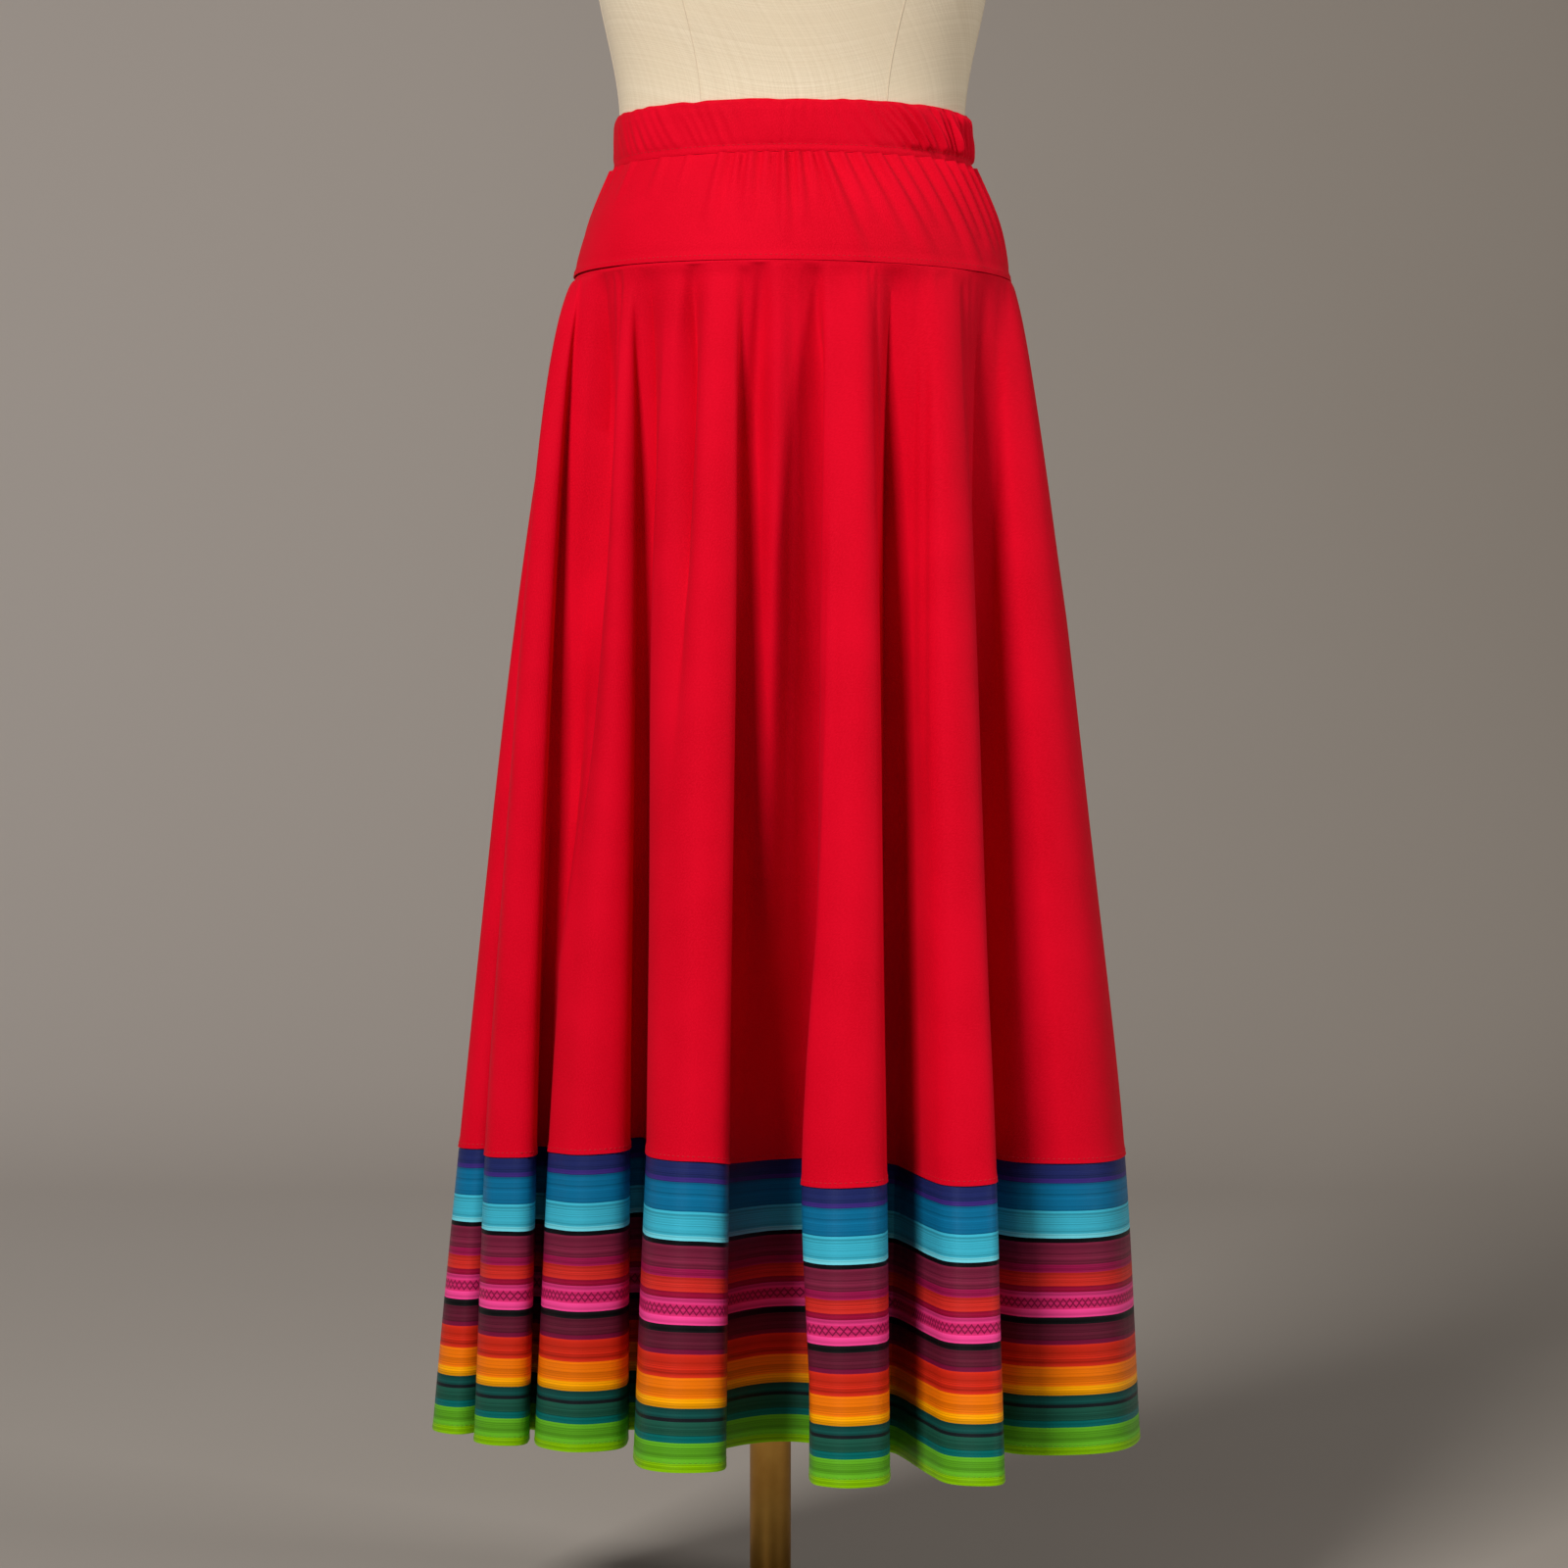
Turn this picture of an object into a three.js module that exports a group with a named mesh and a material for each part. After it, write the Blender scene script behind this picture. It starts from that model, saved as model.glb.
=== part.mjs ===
// A folklorico skirt, worn by a limbless dress form that stands on a brass pole and a round base plate.
// Millimetres, +Z up, the front faces -Y. The origin is the centre of the base plate's underside.
// Skirt: gathered elastic waistband, hip yoke in two halves, flared body in two halves that hangs in
// long flutes, and a striped hem band in two halves that carries the same flutes to the hem.

import * as THREE from "three";

// ---- driving dimensions ----
const WALL = 1.6; // cloth thickness
const SEAM_GAP = 0.3; // left between pieces that meet
const FORM_X = 15; // the dress form hangs over to this side of its pole

const HEM_Z = 168;
const HEM_BAND_HEIGHT = 192;
const YOKE_BOTTOM_Z = 942;
const YOKE_TOP_Z = 1017;
const WAIST_TOP_Z = 1052;
const YOKE_LAP = 4; // the yoke hangs over the top edge of the flare by this much
const LAP_SLOPE = 0.42; // under the yoke the flare leans in at this slope, to clear it
const FLARE_TOP_Z = YOKE_BOTTOM_Z + YOKE_LAP;
const FLARE_HEIGHT = FLARE_TOP_Z - HEM_Z;
const BAND_T = 1 - HEM_BAND_HEIGHT / FLARE_HEIGHT; // where the hem band starts, from 0 at the top to 1
const LAP_T = (YOKE_LAP + 1) / FLARE_HEIGHT;

const FLARE_TOP = { halfWidth: 147, halfDepth: 112 };
const WAIST_INSIDE = { halfWidth: 117.4, halfDepth: 83.4 };

const WAISTBAND = { gathers: 90, crest: 5, trough: 1.8, uneven: 0.8, spread: 2, slant: 0.035, levels: 3 };
// A gather's depth varies round the yoke by a share, and it runs out at the height reach. Drift shifts the
// gathers from even places, by waves that go some times round the yoke and start at some angle.
const YOKE = { standOff: 4, gathers: 44, depth: 3, fullness: 3.5, reach: 0.85, fade: 1.2, columnsPerGather: 3 };
const YOKE_DEPTH_WAVE = { share: 0.3, turns: 5, start: 2 };
const YOKE_DRIFT = [
  { amount: 1.1, turns: 3, start: 0 },
  { amount: 0.8, turns: 7, start: 1 },
];

const POLE = { radius: 14, foot: 20 };
const BASE = { radius: 160, rim: 8, bossRadius: 24, bossTop: 48 };
const NECK = { top: 1480, radius: 50, capHeight: 10 };

// ---- tables ----
const table = (columns, ...rows) =>
  rows.map((row) => Object.fromEntries(columns.map((name, i) => [name, row[i]])));

// One row for each flute, round the skirt from the left side past the front and back again.
// Crest: seam is its angle at the yoke, in degrees from the front; x, y is its place at the hem, half
// its half width and face the angle it faces; grow is the power at which it opens from yoke to hem;
// swing, drop and bulge shift it sideways, down and out at the hem band's top. Columns in v give the
// valley after it.
const FLUTES = table(
  [
    ...["seam", "x", "y", "half", "face", "grow", "swing", "drop", "bulge"],
    ...["vSeam", "vx", "vy", "vHalf", "vFace", "vGrow", "vDrop"],
  ],
  [-97, -240, -42, 22, -66, 0.68, 0, 2, 0, -90, -194, -36, 6, -60, 0.75, 0],
  [-80, -199, -93, 20, -26, 0.5, -10, 3, 0, -61, -172, -44, 7, -50, 0.55, 0],
  [-50, -143, -121, 28, -12, 0.9, -10, -2, 0, -40, -103, -56, 8, -50, 1, -8],
  [-20, -72, -194, 27, -6, 1, 0, -5, 0, -4, -18, -93, 32, 8, 1, 7],
  [16.5, 36, -223, 23, 2, 1, -21, 9, 0, 25.4, 58, -114, 6, 20, 1, 4],
  [43, 101, -212, 27, -32, 0.85, 7, 9, 0, 60, 119, -101, 7, -20, 1, 0],
  [80, 210, -110, 53, 42, 0.65, 0, 4, 7, 94, 203, 6, 7, 85, 0.7, 0],
  [101, 224, 58, 23, 94, 0.75, 0, 0, 5, 112, 184, 88, 7, 110, 0.9, 0],
  [122, 212, 128, 27, 116, 0.8, 0, 2, 0, 134, 148, 120, 8, 130, 1, 0],
  [146, 142, 190, 26, 146, 0.9, 0, 4, 0, 157, 92, 122, 8, 150, 1, 0],
  [169, 58, 208, 28, 170, 1, 0, 0, 0, 181, 4, 108, 14, 180, 1, 0],
  [193, -48, 204, 26, 190, 1, 0, 5, 0, 205, -88, 126, 8, 205, 1, 0],
  [217, -136, 188, 28, 217, 0.9, 0, 0, 0, 228, -158, 112, 7, 225, 0.9, 0],
  [239, -250, 112, 24, 250, 0.8, 0, 0, 0, 252, -204, 32, 7, 265, 0.9, 0],
);

// Smaller folds, and furrows where the height is below 0: at counts flutes round at the yoke and lean how
// far the fold strays on its way down; half is its half width in flutes. It runs from the yoke to the height
// to, where 1 is the hem, and is fullest high up where the power is small.
const SMALL_FOLDS = table(
  ["at", "lean", "half", "to", "power", "height"],
  [1.5, 0.32, 0.13, 0.62, 0.8, 9],
  [2.68, 0.1, 0.13, 0.75, 0.75, 9],
  [3.51, 0, 0.11, 0.85, 0.75, 13],
  [9.5, 0, 0.15, 0.8, 0.75, 7],
  [11.5, 0, 0.15, 0.7, 0.75, 6],
  [1.74, -0.02, 0.34, 0.6, 0.75, -24],
  [2.44, 0, 0.24, 0.9, 0.75, -9],
  [2.87, 0, 0.1, 0.45, 0.6, -8],
  [3.36, 0, 0.12, 0.5, 0.6, -9],
  [3.56, 0, 0.24, 1.08, 2, -42],
  [3.71, -0.08, 0.1, 1.0, 0.9, -24],
  [4.55, 0, 0.17, 0.9, 0.7, -12],
  [5.5, 0, 0.18, 0.95, 0.75, -10],
);

// Level sections of the dress form: height, half width, half depth and how far it is set back.
const FORM_SECTIONS = table(
  ["z", "halfWidth", "halfDepth", "back"],
  [760, 118, 86, 2],
  [770, 128, 94, 3],
  [815, 136, 99, 4],
  [880, 138, 100, 4],
  [946, 134, 97, 3],
  [988, 122, 87, 1],
  [YOKE_TOP_Z - 4, 116.8, 82.8, 0],
  [WAIST_TOP_Z - 18, 116.4, 82.6, 0],
  [WAIST_TOP_Z + 4, 117, 83, 0],
  [1134, 131, 94, -4],
  [1225, 148, 110, -10],
  [1300, 152, 102, -5],
  [1352, 154, 84, 3],
  [1388, 140, 68, 9],
  [1412, 104, 58, 12],
  [1434, 66, 53, 14],
  [1456, 54, 51, 14],
  [NECK.top, NECK.radius, NECK.radius, 14],
);

// ---- materials ----
const finish = (color, roughness, metalness = 0) => new THREE.MeshStandardMaterial({ color, roughness, metalness });
const RED_KNIT = finish(0xd80a22, 0.8);
const STRIPED_SATIN = finish(0x0c628a, 0.5);
const LINEN = finish(0xd9d0c0, 0.9);
const BRASS = finish(0xa8803c, 0.35, 1);
const IRON = finish(0x2a2826, 0.6, 0.6);

// ---- small helpers ----
const range = (count, f) => Array.from({ length: count }, (_, i) => f(i));
const spread = (from, to, steps) => range(steps + 1, (i) => from + ((to - from) * i) / steps);
const radians = THREE.MathUtils.degToRad;
const last = (list) => list[list.length - 1];
const wrap = (value, period) => ((value % period) + period) % period;
const humpOf = (x) => (Math.abs(x) < 1 ? Math.cos((x * Math.PI) / 2) ** 2 : 0);

/** A point of an ellipse in plan; angle 0 is the front and grows towards +X. */
const onEllipse = (angle, halfWidth, halfDepth) =>
  new THREE.Vector2(halfWidth * Math.sin(angle), -halfDepth * Math.cos(angle));

/** Values at crests and valleys, eased from each to the next; turn is added once round. */
function ring(crest, valley, turn = 0) {
  const values = FLUTES.flatMap((row) => [row[crest], valley ? row[valley] : 0]);
  return (u) => {
    const k = Math.floor(u * 2);
    const at = (i) => values[wrap(i, values.length)] + turn * Math.floor(i / values.length);
    const w = u * 2 - k;
    return THREE.MathUtils.lerp(at(k), at(k + 1), turn ? w : w * w * (3 - 2 * w));
  };
}

// ---- the flared surface: u counts flutes round the skirt, t runs from 0 at the top to 1 at the hem ----
const seamAngle = ring("seam", "vSeam", 360);
const growth = ring("grow", "vGrow");
const swing = ring("swing");
const drop = ring("drop", "vDrop");
const bulge = ring("bulge");

/** Three points across the tip of a fold: its two shoulders, set back by the rounding, and its tip. */
function across(x, y, face, half, rounding) {
  const shoulder = (side) =>
    new THREE.Vector3(
      x + side * half * Math.cos(face) - rounding * half * Math.sin(face),
      y + side * half * Math.sin(face) + rounding * half * Math.cos(face),
      0,
    );
  return [shoulder(-1), new THREE.Vector3(x, y, 0), shoulder(1)];
}

const CREST_ROUNDING = 0.55;
const VALLEY_ROUNDING = 0.3;
const HEM_CURVE = new THREE.CatmullRomCurve3(
  FLUTES.flatMap((row) => {
    const crest = across(row.x, row.y, radians(row.face), row.half, CREST_ROUNDING);
    const valley = across(row.vx, row.vy, radians(row.vFace), row.vHalf, -VALLEY_ROUNDING);
    return [...crest, ...valley];
  }),
  true,
  "centripetal",
);

/** The section in plan, before the small folds. */
function flarePlan(u, t) {
  const hem = HEM_CURVE.getPoint(wrap(u * 6 + 1, FLUTES.length * 6) / (FLUTES.length * 6));
  const tuck = LAP_SLOPE * Math.max(0, YOKE_LAP - FLARE_HEIGHT * t);
  const top = onEllipse(radians(seamAngle(u)), FLARE_TOP.halfWidth - tuck, FLARE_TOP.halfDepth - tuck);
  const open = Math.max(0, (t - LAP_T) / (1 - LAP_T)) ** growth(u);
  return top.lerp(new THREE.Vector2(hem.x, hem.y), open);
}

const SOFTENING = { step: 0.025, weights: [0.0625, 0.25, 0.375, 0.25, 0.0625] };

/** The section in plan with its corners softened. */
function softPlan(u, t) {
  const sum = new THREE.Vector2();
  SOFTENING.weights.forEach((weight, i) => {
    const shift = i - (SOFTENING.weights.length - 1) / 2;
    sum.addScaledVector(flarePlan(u + shift * SOFTENING.step, t), weight);
  });
  return sum;
}

/** How far the small folds stand out. */
function smallFolds(u, t) {
  return SMALL_FOLDS.reduce((sum, { at, lean, half, to, power, height }) => {
    const down = THREE.MathUtils.clamp((t - LAP_T) / (to - LAP_T), 0, 1);
    const round = wrap(u - at - lean * down + FLUTES.length / 2, FLUTES.length) - FLUTES.length / 2;
    return sum + height * humpOf(round / half) * Math.sin(Math.PI * down ** power);
  }, 0);
}

const BAND_SPREAD = 0.22; // swing and bulge fade over this share of the height, above and below the band's top
const DROP_AT_HEM = 0.25; // share of the drop that is left at the hem

function flareSurface(u, t) {
  const point = softPlan(u, t);
  const step = 0.001;
  const along = softPlan(u + step, t).sub(softPlan(u - step, t)).normalize();
  const outward = new THREE.Vector2(along.y, -along.x);
  const nearBand = Math.exp(-(((t - BAND_T) / BAND_SPREAD) ** 2));
  point.addScaledVector(outward, smallFolds(u, t) + bulge(u) * nearBand);
  point.addScaledVector(along, swing(u) * nearBand);
  const inBand = (t - BAND_T) / (1 - BAND_T);
  const sag = t < BAND_T ? (t / BAND_T) ** 2 : THREE.MathUtils.lerp(1, DROP_AT_HEM, inBand);
  return new THREE.Vector3(point.x, point.y, FLARE_TOP_Z - FLARE_HEIGHT * t - drop(u) * sag);
}

// ---- the yoke surface: u runs once round from 0 to 1, t from 0 at the waist to 1 at its lower edge ----
function yokeSurface(u, t) {
  const angle = 2 * Math.PI * (u - 0.5);
  const waist = YOKE.standOff;
  const hip = WALL + SEAM_GAP;
  const wave = ({ turns, start }) => Math.sin(turns * angle + start);
  const drift = YOKE_DRIFT.reduce((sum, row) => sum + row.amount * wave(row), 0);
  const { share } = YOKE_DEPTH_WAVE;
  const fade = Math.max(0, 1 - t / YOKE.reach) ** YOKE.fade;
  const depth = YOKE.depth * (1 - share + share * wave(YOKE_DEPTH_WAVE)) * fade;
  const gather = (1 + Math.cos(angle * YOKE.gathers + drift)) / 2;
  const out = YOKE.fullness * Math.sin(Math.PI * t) + depth * gather;
  const halfWidth = THREE.MathUtils.lerp(WAIST_INSIDE.halfWidth + waist, FLARE_TOP.halfWidth + hip, t);
  const halfDepth = THREE.MathUtils.lerp(WAIST_INSIDE.halfDepth + waist, FLARE_TOP.halfDepth + hip, t);
  const point = onEllipse(angle, halfWidth + out, halfDepth + out);
  return new THREE.Vector3(point.x, point.y, THREE.MathUtils.lerp(YOKE_TOP_Z - SEAM_GAP, YOKE_BOTTOM_Z, t));
}

// ---- closed walls ----
/** A point of a surface moved level, straight out of its section. */
function offsetPoint(surface, u, t, distance) {
  const step = 0.002;
  const along = surface(u + step, t).sub(surface(u - step, t));
  const outward = new THREE.Vector3(along.y, -along.x, 0).normalize();
  return surface(u, t).addScaledVector(outward, distance);
}

/** A mesh from quads of points, merged by index. */
function meshOf(name, material, grids) {
  const positions = [];
  for (const grid of grids)
    for (let i = 0; i + 1 < grid.length; i++)
      for (let j = 0; j + 1 < grid[i].length; j++) {
        const [a, b, c, d] = [grid[i][j], grid[i + 1][j], grid[i + 1][j + 1], grid[i][j + 1]];
        for (const point of [a, b, c, a, c, d]) positions.push(point.x, point.y, point.z);
      }
  const geometry = new THREE.BufferGeometry();
  geometry.setAttribute("position", new THREE.Float32BufferAttribute(positions, 3));
  geometry.computeVertexNormals();
  const mesh = new THREE.Mesh(geometry, material);
  mesh.name = name;
  return mesh;
}

const transposed = (left, right) => left.map((point, i) => [point, right[i]]);

/** Closes an outer and an inner grid, rows downwards and columns towards +u, into one wall. */
function wallBetween(name, material, outer, inner, closedRing) {
  const facingIn = inner.map((row) => [...row].reverse());
  const rims = [
    [inner[0], outer[0]],
    [last(outer), last(inner)],
  ];
  if (!closedRing) {
    const side = (grid, pick) => grid.map(pick);
    const first = (row) => row[0];
    rims.push(transposed(side(inner, first), side(outer, first)));
    rims.push(transposed(side(outer, last), side(inner, last)));
  }
  return meshOf(name, material, [outer, facingIn, ...rims]);
}

/** A cloth panel of even thickness between two places round a surface, clear of the next panel's edge. */
function panel(name, material, surface, [start, end], columns, levels) {
  const rows = (distance) =>
    levels.map((t) =>
      spread(start, end, columns).map((u, j) => {
        const step = 0.002;
        const speed = surface(u + step, t).distanceTo(surface(u - step, t)) / (2 * step);
        const inset = SEAM_GAP / 2 / speed;
        const clear = j === 0 ? u + inset : j === columns ? u - inset : u;
        return offsetPoint(surface, clear, t, distance);
      }),
    );
  return wallBetween(name, material, rows(WALL / 2), rows(-WALL / 2), false);
}

// ---- pieces of the skirt ----
const LEFT_SEAM = 0.5; // side seams, in flutes, each hidden in a valley
const RIGHT_SEAM = 6.5;
const FRONT = [LEFT_SEAM, RIGHT_SEAM];
const BACK = [RIGHT_SEAM, LEFT_SEAM + FLUTES.length];
const FLARE_COLUMNS = 84;
const BAND_GAP_T = SEAM_GAP / 2 / FLARE_HEIGHT;

function flarePanels() {
  const levels = [0, LAP_T, 0.045, 0.11, 0.2, 0.32, 0.46, 0.6, BAND_T - BAND_GAP_T];
  return [
    panel("flare_front", RED_KNIT, flareSurface, FRONT, FLARE_COLUMNS, levels),
    panel("flare_back", RED_KNIT, flareSurface, BACK, FLARE_COLUMNS, levels),
  ];
}

function hemBandPanels() {
  const levels = spread(BAND_T + BAND_GAP_T, 1, 2);
  return [
    panel("hem_band_front", STRIPED_SATIN, flareSurface, FRONT, FLARE_COLUMNS, levels),
    panel("hem_band_back", STRIPED_SATIN, flareSurface, BACK, FLARE_COLUMNS, levels),
  ];
}

function yokePanels() {
  const columns = (YOKE.gathers * YOKE.columnsPerGather) / 2;
  const levels = [0, 0.25, 0.55, 1];
  return [
    panel("yoke_front", RED_KNIT, yokeSurface, [0.25, 0.75], columns, levels),
    panel("yoke_back", RED_KNIT, yokeSurface, [0.75, 1.25], columns, levels),
  ];
}

/** The elastic casing: a plain inside, and gathers that slant a little raised on its outside. */
function waistband() {
  const columns = WAISTBAND.gathers * 2;
  const at = (j, level, out) => {
    const angle = (2 * Math.PI * j) / columns + WAISTBAND.slant * (level - 0.5);
    const { halfWidth, halfDepth } = WAIST_INSIDE;
    const point = onEllipse(angle, halfWidth + out, halfDepth + out);
    return new THREE.Vector3(point.x, point.y, THREE.MathUtils.lerp(WAIST_TOP_Z, YOKE_TOP_Z, level));
  };
  const height = (j) => (j % 2 ? WAISTBAND.trough : WAISTBAND.crest - WAISTBAND.uneven * Math.sin(j) ** 2);
  const ringOf = (level, out) => range(columns + 1, (j) => at(j % columns, level, out(j % columns)));
  const outer = spread(0, 1, WAISTBAND.levels).map((level) =>
    ringOf(level, (j) => height(j) + WAISTBAND.spread * level),
  );
  const inner = [0, 1].map((level) => ringOf(level, () => 0));
  return wallBetween("waistband", RED_KNIT, outer, inner, true);
}

// ---- dress form and stand ----
function formTorso() {
  const columns = 32;
  const ringAt = ({ z, halfWidth, halfDepth, back }) =>
    range(columns + 1, (j) => {
      const point = onEllipse((2 * Math.PI * (j % columns)) / columns, halfWidth, halfDepth);
      return new THREE.Vector3(point.x, point.y + back, z);
    });
  const rings = [...FORM_SECTIONS].reverse().map(ringAt);
  const centre = ({ z, back }) => new THREE.Vector3(0, back, z);
  const top = fan(centre(last(FORM_SECTIONS)), [...rings[0]].reverse());
  const bottom = fan(centre(FORM_SECTIONS[0]), last(rings));
  return meshWithCaps("form_torso", LINEN, rings, [top, bottom]);
}

const fan = (centre, points) => points.slice(1).map((point, i) => [centre, point, points[i]]);

function meshWithCaps(name, material, rings, caps) {
  const mesh = meshOf(name, material, [rings]);
  const triangles = caps.flat(2).flatMap((point) => point.toArray());
  const positions = [...mesh.geometry.getAttribute("position").array, ...triangles];
  mesh.geometry.setAttribute("position", new THREE.Float32BufferAttribute(positions, 3));
  mesh.geometry.computeVertexNormals();
  return mesh;
}

/** A solid of revolution about Z from [radius, height] points that start and end on the axis. */
function turned(name, material, profile, segments) {
  const geometry = new THREE.LatheGeometry(
    profile.map(([radius, height]) => new THREE.Vector2(radius, height)),
    segments,
  );
  const mesh = new THREE.Mesh(geometry.rotateX(Math.PI / 2), material);
  mesh.name = name;
  return mesh;
}

function neckCap() {
  const { radius, capHeight } = NECK;
  const profile = [
    [0, 0],
    [radius, 0],
    [radius, capHeight * 0.4],
    [radius * 0.92, capHeight * 0.75],
    [radius * 0.6, capHeight * 0.95],
    [0, capHeight],
  ];
  const cap = turned("form_neck_cap", BRASS, profile, 32);
  cap.position.set(0, last(FORM_SECTIONS).back, NECK.top + SEAM_GAP);
  return cap;
}

function pole() {
  const foot = POLE.foot + SEAM_GAP;
  const length = FORM_SECTIONS[0].z - SEAM_GAP - foot;
  const mesh = new THREE.Mesh(new THREE.CylinderGeometry(POLE.radius, POLE.radius, length, 24), BRASS);
  mesh.name = "stand_pole";
  mesh.rotation.x = Math.PI / 2;
  mesh.position.z = foot + length / 2;
  return mesh;
}

/** The base plate: a flat underside, a low dome and a boss with the socket that the pole stands in. */
function basePlate() {
  const socket = POLE.radius + SEAM_GAP;
  const profile = [
    [0, 0],
    [BASE.radius, 0],
    [BASE.radius, BASE.rim],
    [BASE.radius - 8, BASE.rim + 4],
    [BASE.bossRadius + 20, BASE.rim + 10],
    [BASE.bossRadius + 4, BASE.rim + 18],
    [BASE.bossRadius, BASE.bossTop - 3],
    [BASE.bossRadius - 3, BASE.bossTop],
    [socket, BASE.bossTop],
    [socket, POLE.foot],
    [0, POLE.foot],
  ];
  return turned("stand_base", IRON, profile, 48);
}

// ---- assembly ----
const skirt = new THREE.Group().add(waistband(), ...yokePanels(), ...flarePanels(), ...hemBandPanels());
const dressForm = new THREE.Group().add(formTorso(), neckCap());
const overPole = new THREE.Group().add(skirt, dressForm);
overPole.position.x = FORM_X;
const stand = new THREE.Group().add(pole(), basePlate());

export default new THREE.Group().add(stand, overPole);
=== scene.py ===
"""Looks of a folklorico skirt on a dress form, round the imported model. Blender 4.5, +Z up, front towards -Y.

Shapes are worked out in millimetres, in the skirt's own frame, and become metres in mesh_of.
"""

import math

import bmesh
import bpy
import numpy as np
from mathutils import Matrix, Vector


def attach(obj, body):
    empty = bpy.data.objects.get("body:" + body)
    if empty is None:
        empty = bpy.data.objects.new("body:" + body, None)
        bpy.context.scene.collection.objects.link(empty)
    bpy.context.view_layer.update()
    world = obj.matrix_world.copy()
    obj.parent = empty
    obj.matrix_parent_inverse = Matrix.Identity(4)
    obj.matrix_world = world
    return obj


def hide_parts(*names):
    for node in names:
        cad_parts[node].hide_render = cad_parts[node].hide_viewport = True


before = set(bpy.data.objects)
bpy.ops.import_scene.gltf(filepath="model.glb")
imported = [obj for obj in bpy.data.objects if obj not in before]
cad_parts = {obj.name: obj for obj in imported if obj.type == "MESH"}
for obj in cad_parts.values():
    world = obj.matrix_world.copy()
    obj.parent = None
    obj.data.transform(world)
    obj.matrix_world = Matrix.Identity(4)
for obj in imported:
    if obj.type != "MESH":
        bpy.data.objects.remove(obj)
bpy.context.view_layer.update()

# ---- driving dimensions, mm ----
FORM_X = 15.0  # the form and the skirt stand this far to the side of the pole
WAIST_TOP_Z = 1052.0
YOKE_TOP_Z = 1017.0
YOKE_BOTTOM_Z = 942.0
YOKE_LAP = 4.0
LAP_SLOPE = 0.42  # the flare narrows this much per mm on its way up behind the yoke
HEM_Z = 168.0
HEM_BAND_HEIGHT = 192.0
FLARE_TOP_Z = YOKE_BOTTOM_Z + YOKE_LAP
FLARE_HEIGHT = FLARE_TOP_Z - HEM_Z
BAND_T = 1 - HEM_BAND_HEIGHT / FLARE_HEIGHT  # the striped band's start, from 0 at the top to 1 at the hem
LAP_T = (YOKE_LAP + 1) / FLARE_HEIGHT  # where the flare comes free of the yoke
FLARE_TOP = (147.0, 112.0)  # half width and half depth
WAIST_INSIDE = (117.4, 83.4)
YOKE_STAND_OFF = 4.0  # the yoke's top lies this far outside the waist
YOKE_FULLNESS = 3.5
YOKE_SET_OUT = 1.25  # the yoke's lower edge lies this far outside the flare's top

KNIT = 0.9  # thickness of the red cloth
SATIN = 0.7  # thickness of the striped cloth
SEAM_GAP = 0.3


def table(columns, *rows):
    """Rows with named columns, as arrays by name."""
    return {name: np.array([row[i] for row in rows], float) for i, name in enumerate(columns.split())}


# Crest and valley of each flute, as in the part's source.
FLUTES = table(
    "seam x y half face grow swing drop bulge v_seam v_x v_y v_half v_face v_grow v_drop",
    (-97, -240, -42, 22, -66, 0.68, 0, 2, 0, -90, -194, -36, 6, -60, 0.75, 0),
    (-80, -199, -93, 20, -26, 0.5, -10, 3, 0, -61, -172, -44, 7, -50, 0.55, 0),
    (-50, -143, -121, 28, -12, 0.9, -10, -2, 0, -40, -103, -56, 8, -50, 1, -8),
    (-20, -72, -194, 27, -6, 1, 0, -5, 0, -4, -18, -93, 32, 8, 1, 7),
    (16.5, 36, -223, 23, 2, 1, -21, 9, 0, 25.4, 58, -114, 6, 20, 1, 4),
    (43, 101, -212, 27, -32, 0.85, 7, 9, 0, 60, 119, -101, 7, -20, 1, 0),
    (80, 210, -110, 53, 42, 0.65, 0, 4, 7, 94, 203, 6, 7, 85, 0.7, 0),
    (101, 224, 58, 23, 94, 0.75, 0, 0, 5, 112, 184, 88, 7, 110, 0.9, 0),
    (122, 212, 128, 27, 116, 0.8, 0, 2, 0, 134, 148, 120, 8, 130, 1, 0),
    (146, 142, 190, 26, 146, 0.9, 0, 4, 0, 157, 92, 122, 8, 150, 1, 0),
    (169, 58, 208, 28, 170, 1, 0, 0, 0, 181, 4, 108, 14, 180, 1, 0),
    (193, -48, 204, 26, 190, 1, 0, 5, 0, 205, -88, 126, 8, 205, 1, 0),
    (217, -136, 188, 28, 217, 0.9, 0, 0, 0, 228, -158, 112, 7, 225, 0.9, 0),
    (239, -250, 112, 24, 250, 0.8, 0, 0, 0, 252, -204, 32, 7, 265, 0.9, 0),
)
COUNT = len(FLUTES["x"])
LEFT_SEAM, RIGHT_SEAM = 0.5, 6.5
FRONT = (LEFT_SEAM, RIGHT_SEAM)
BACK = (RIGHT_SEAM, LEFT_SEAM + COUNT)

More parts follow.
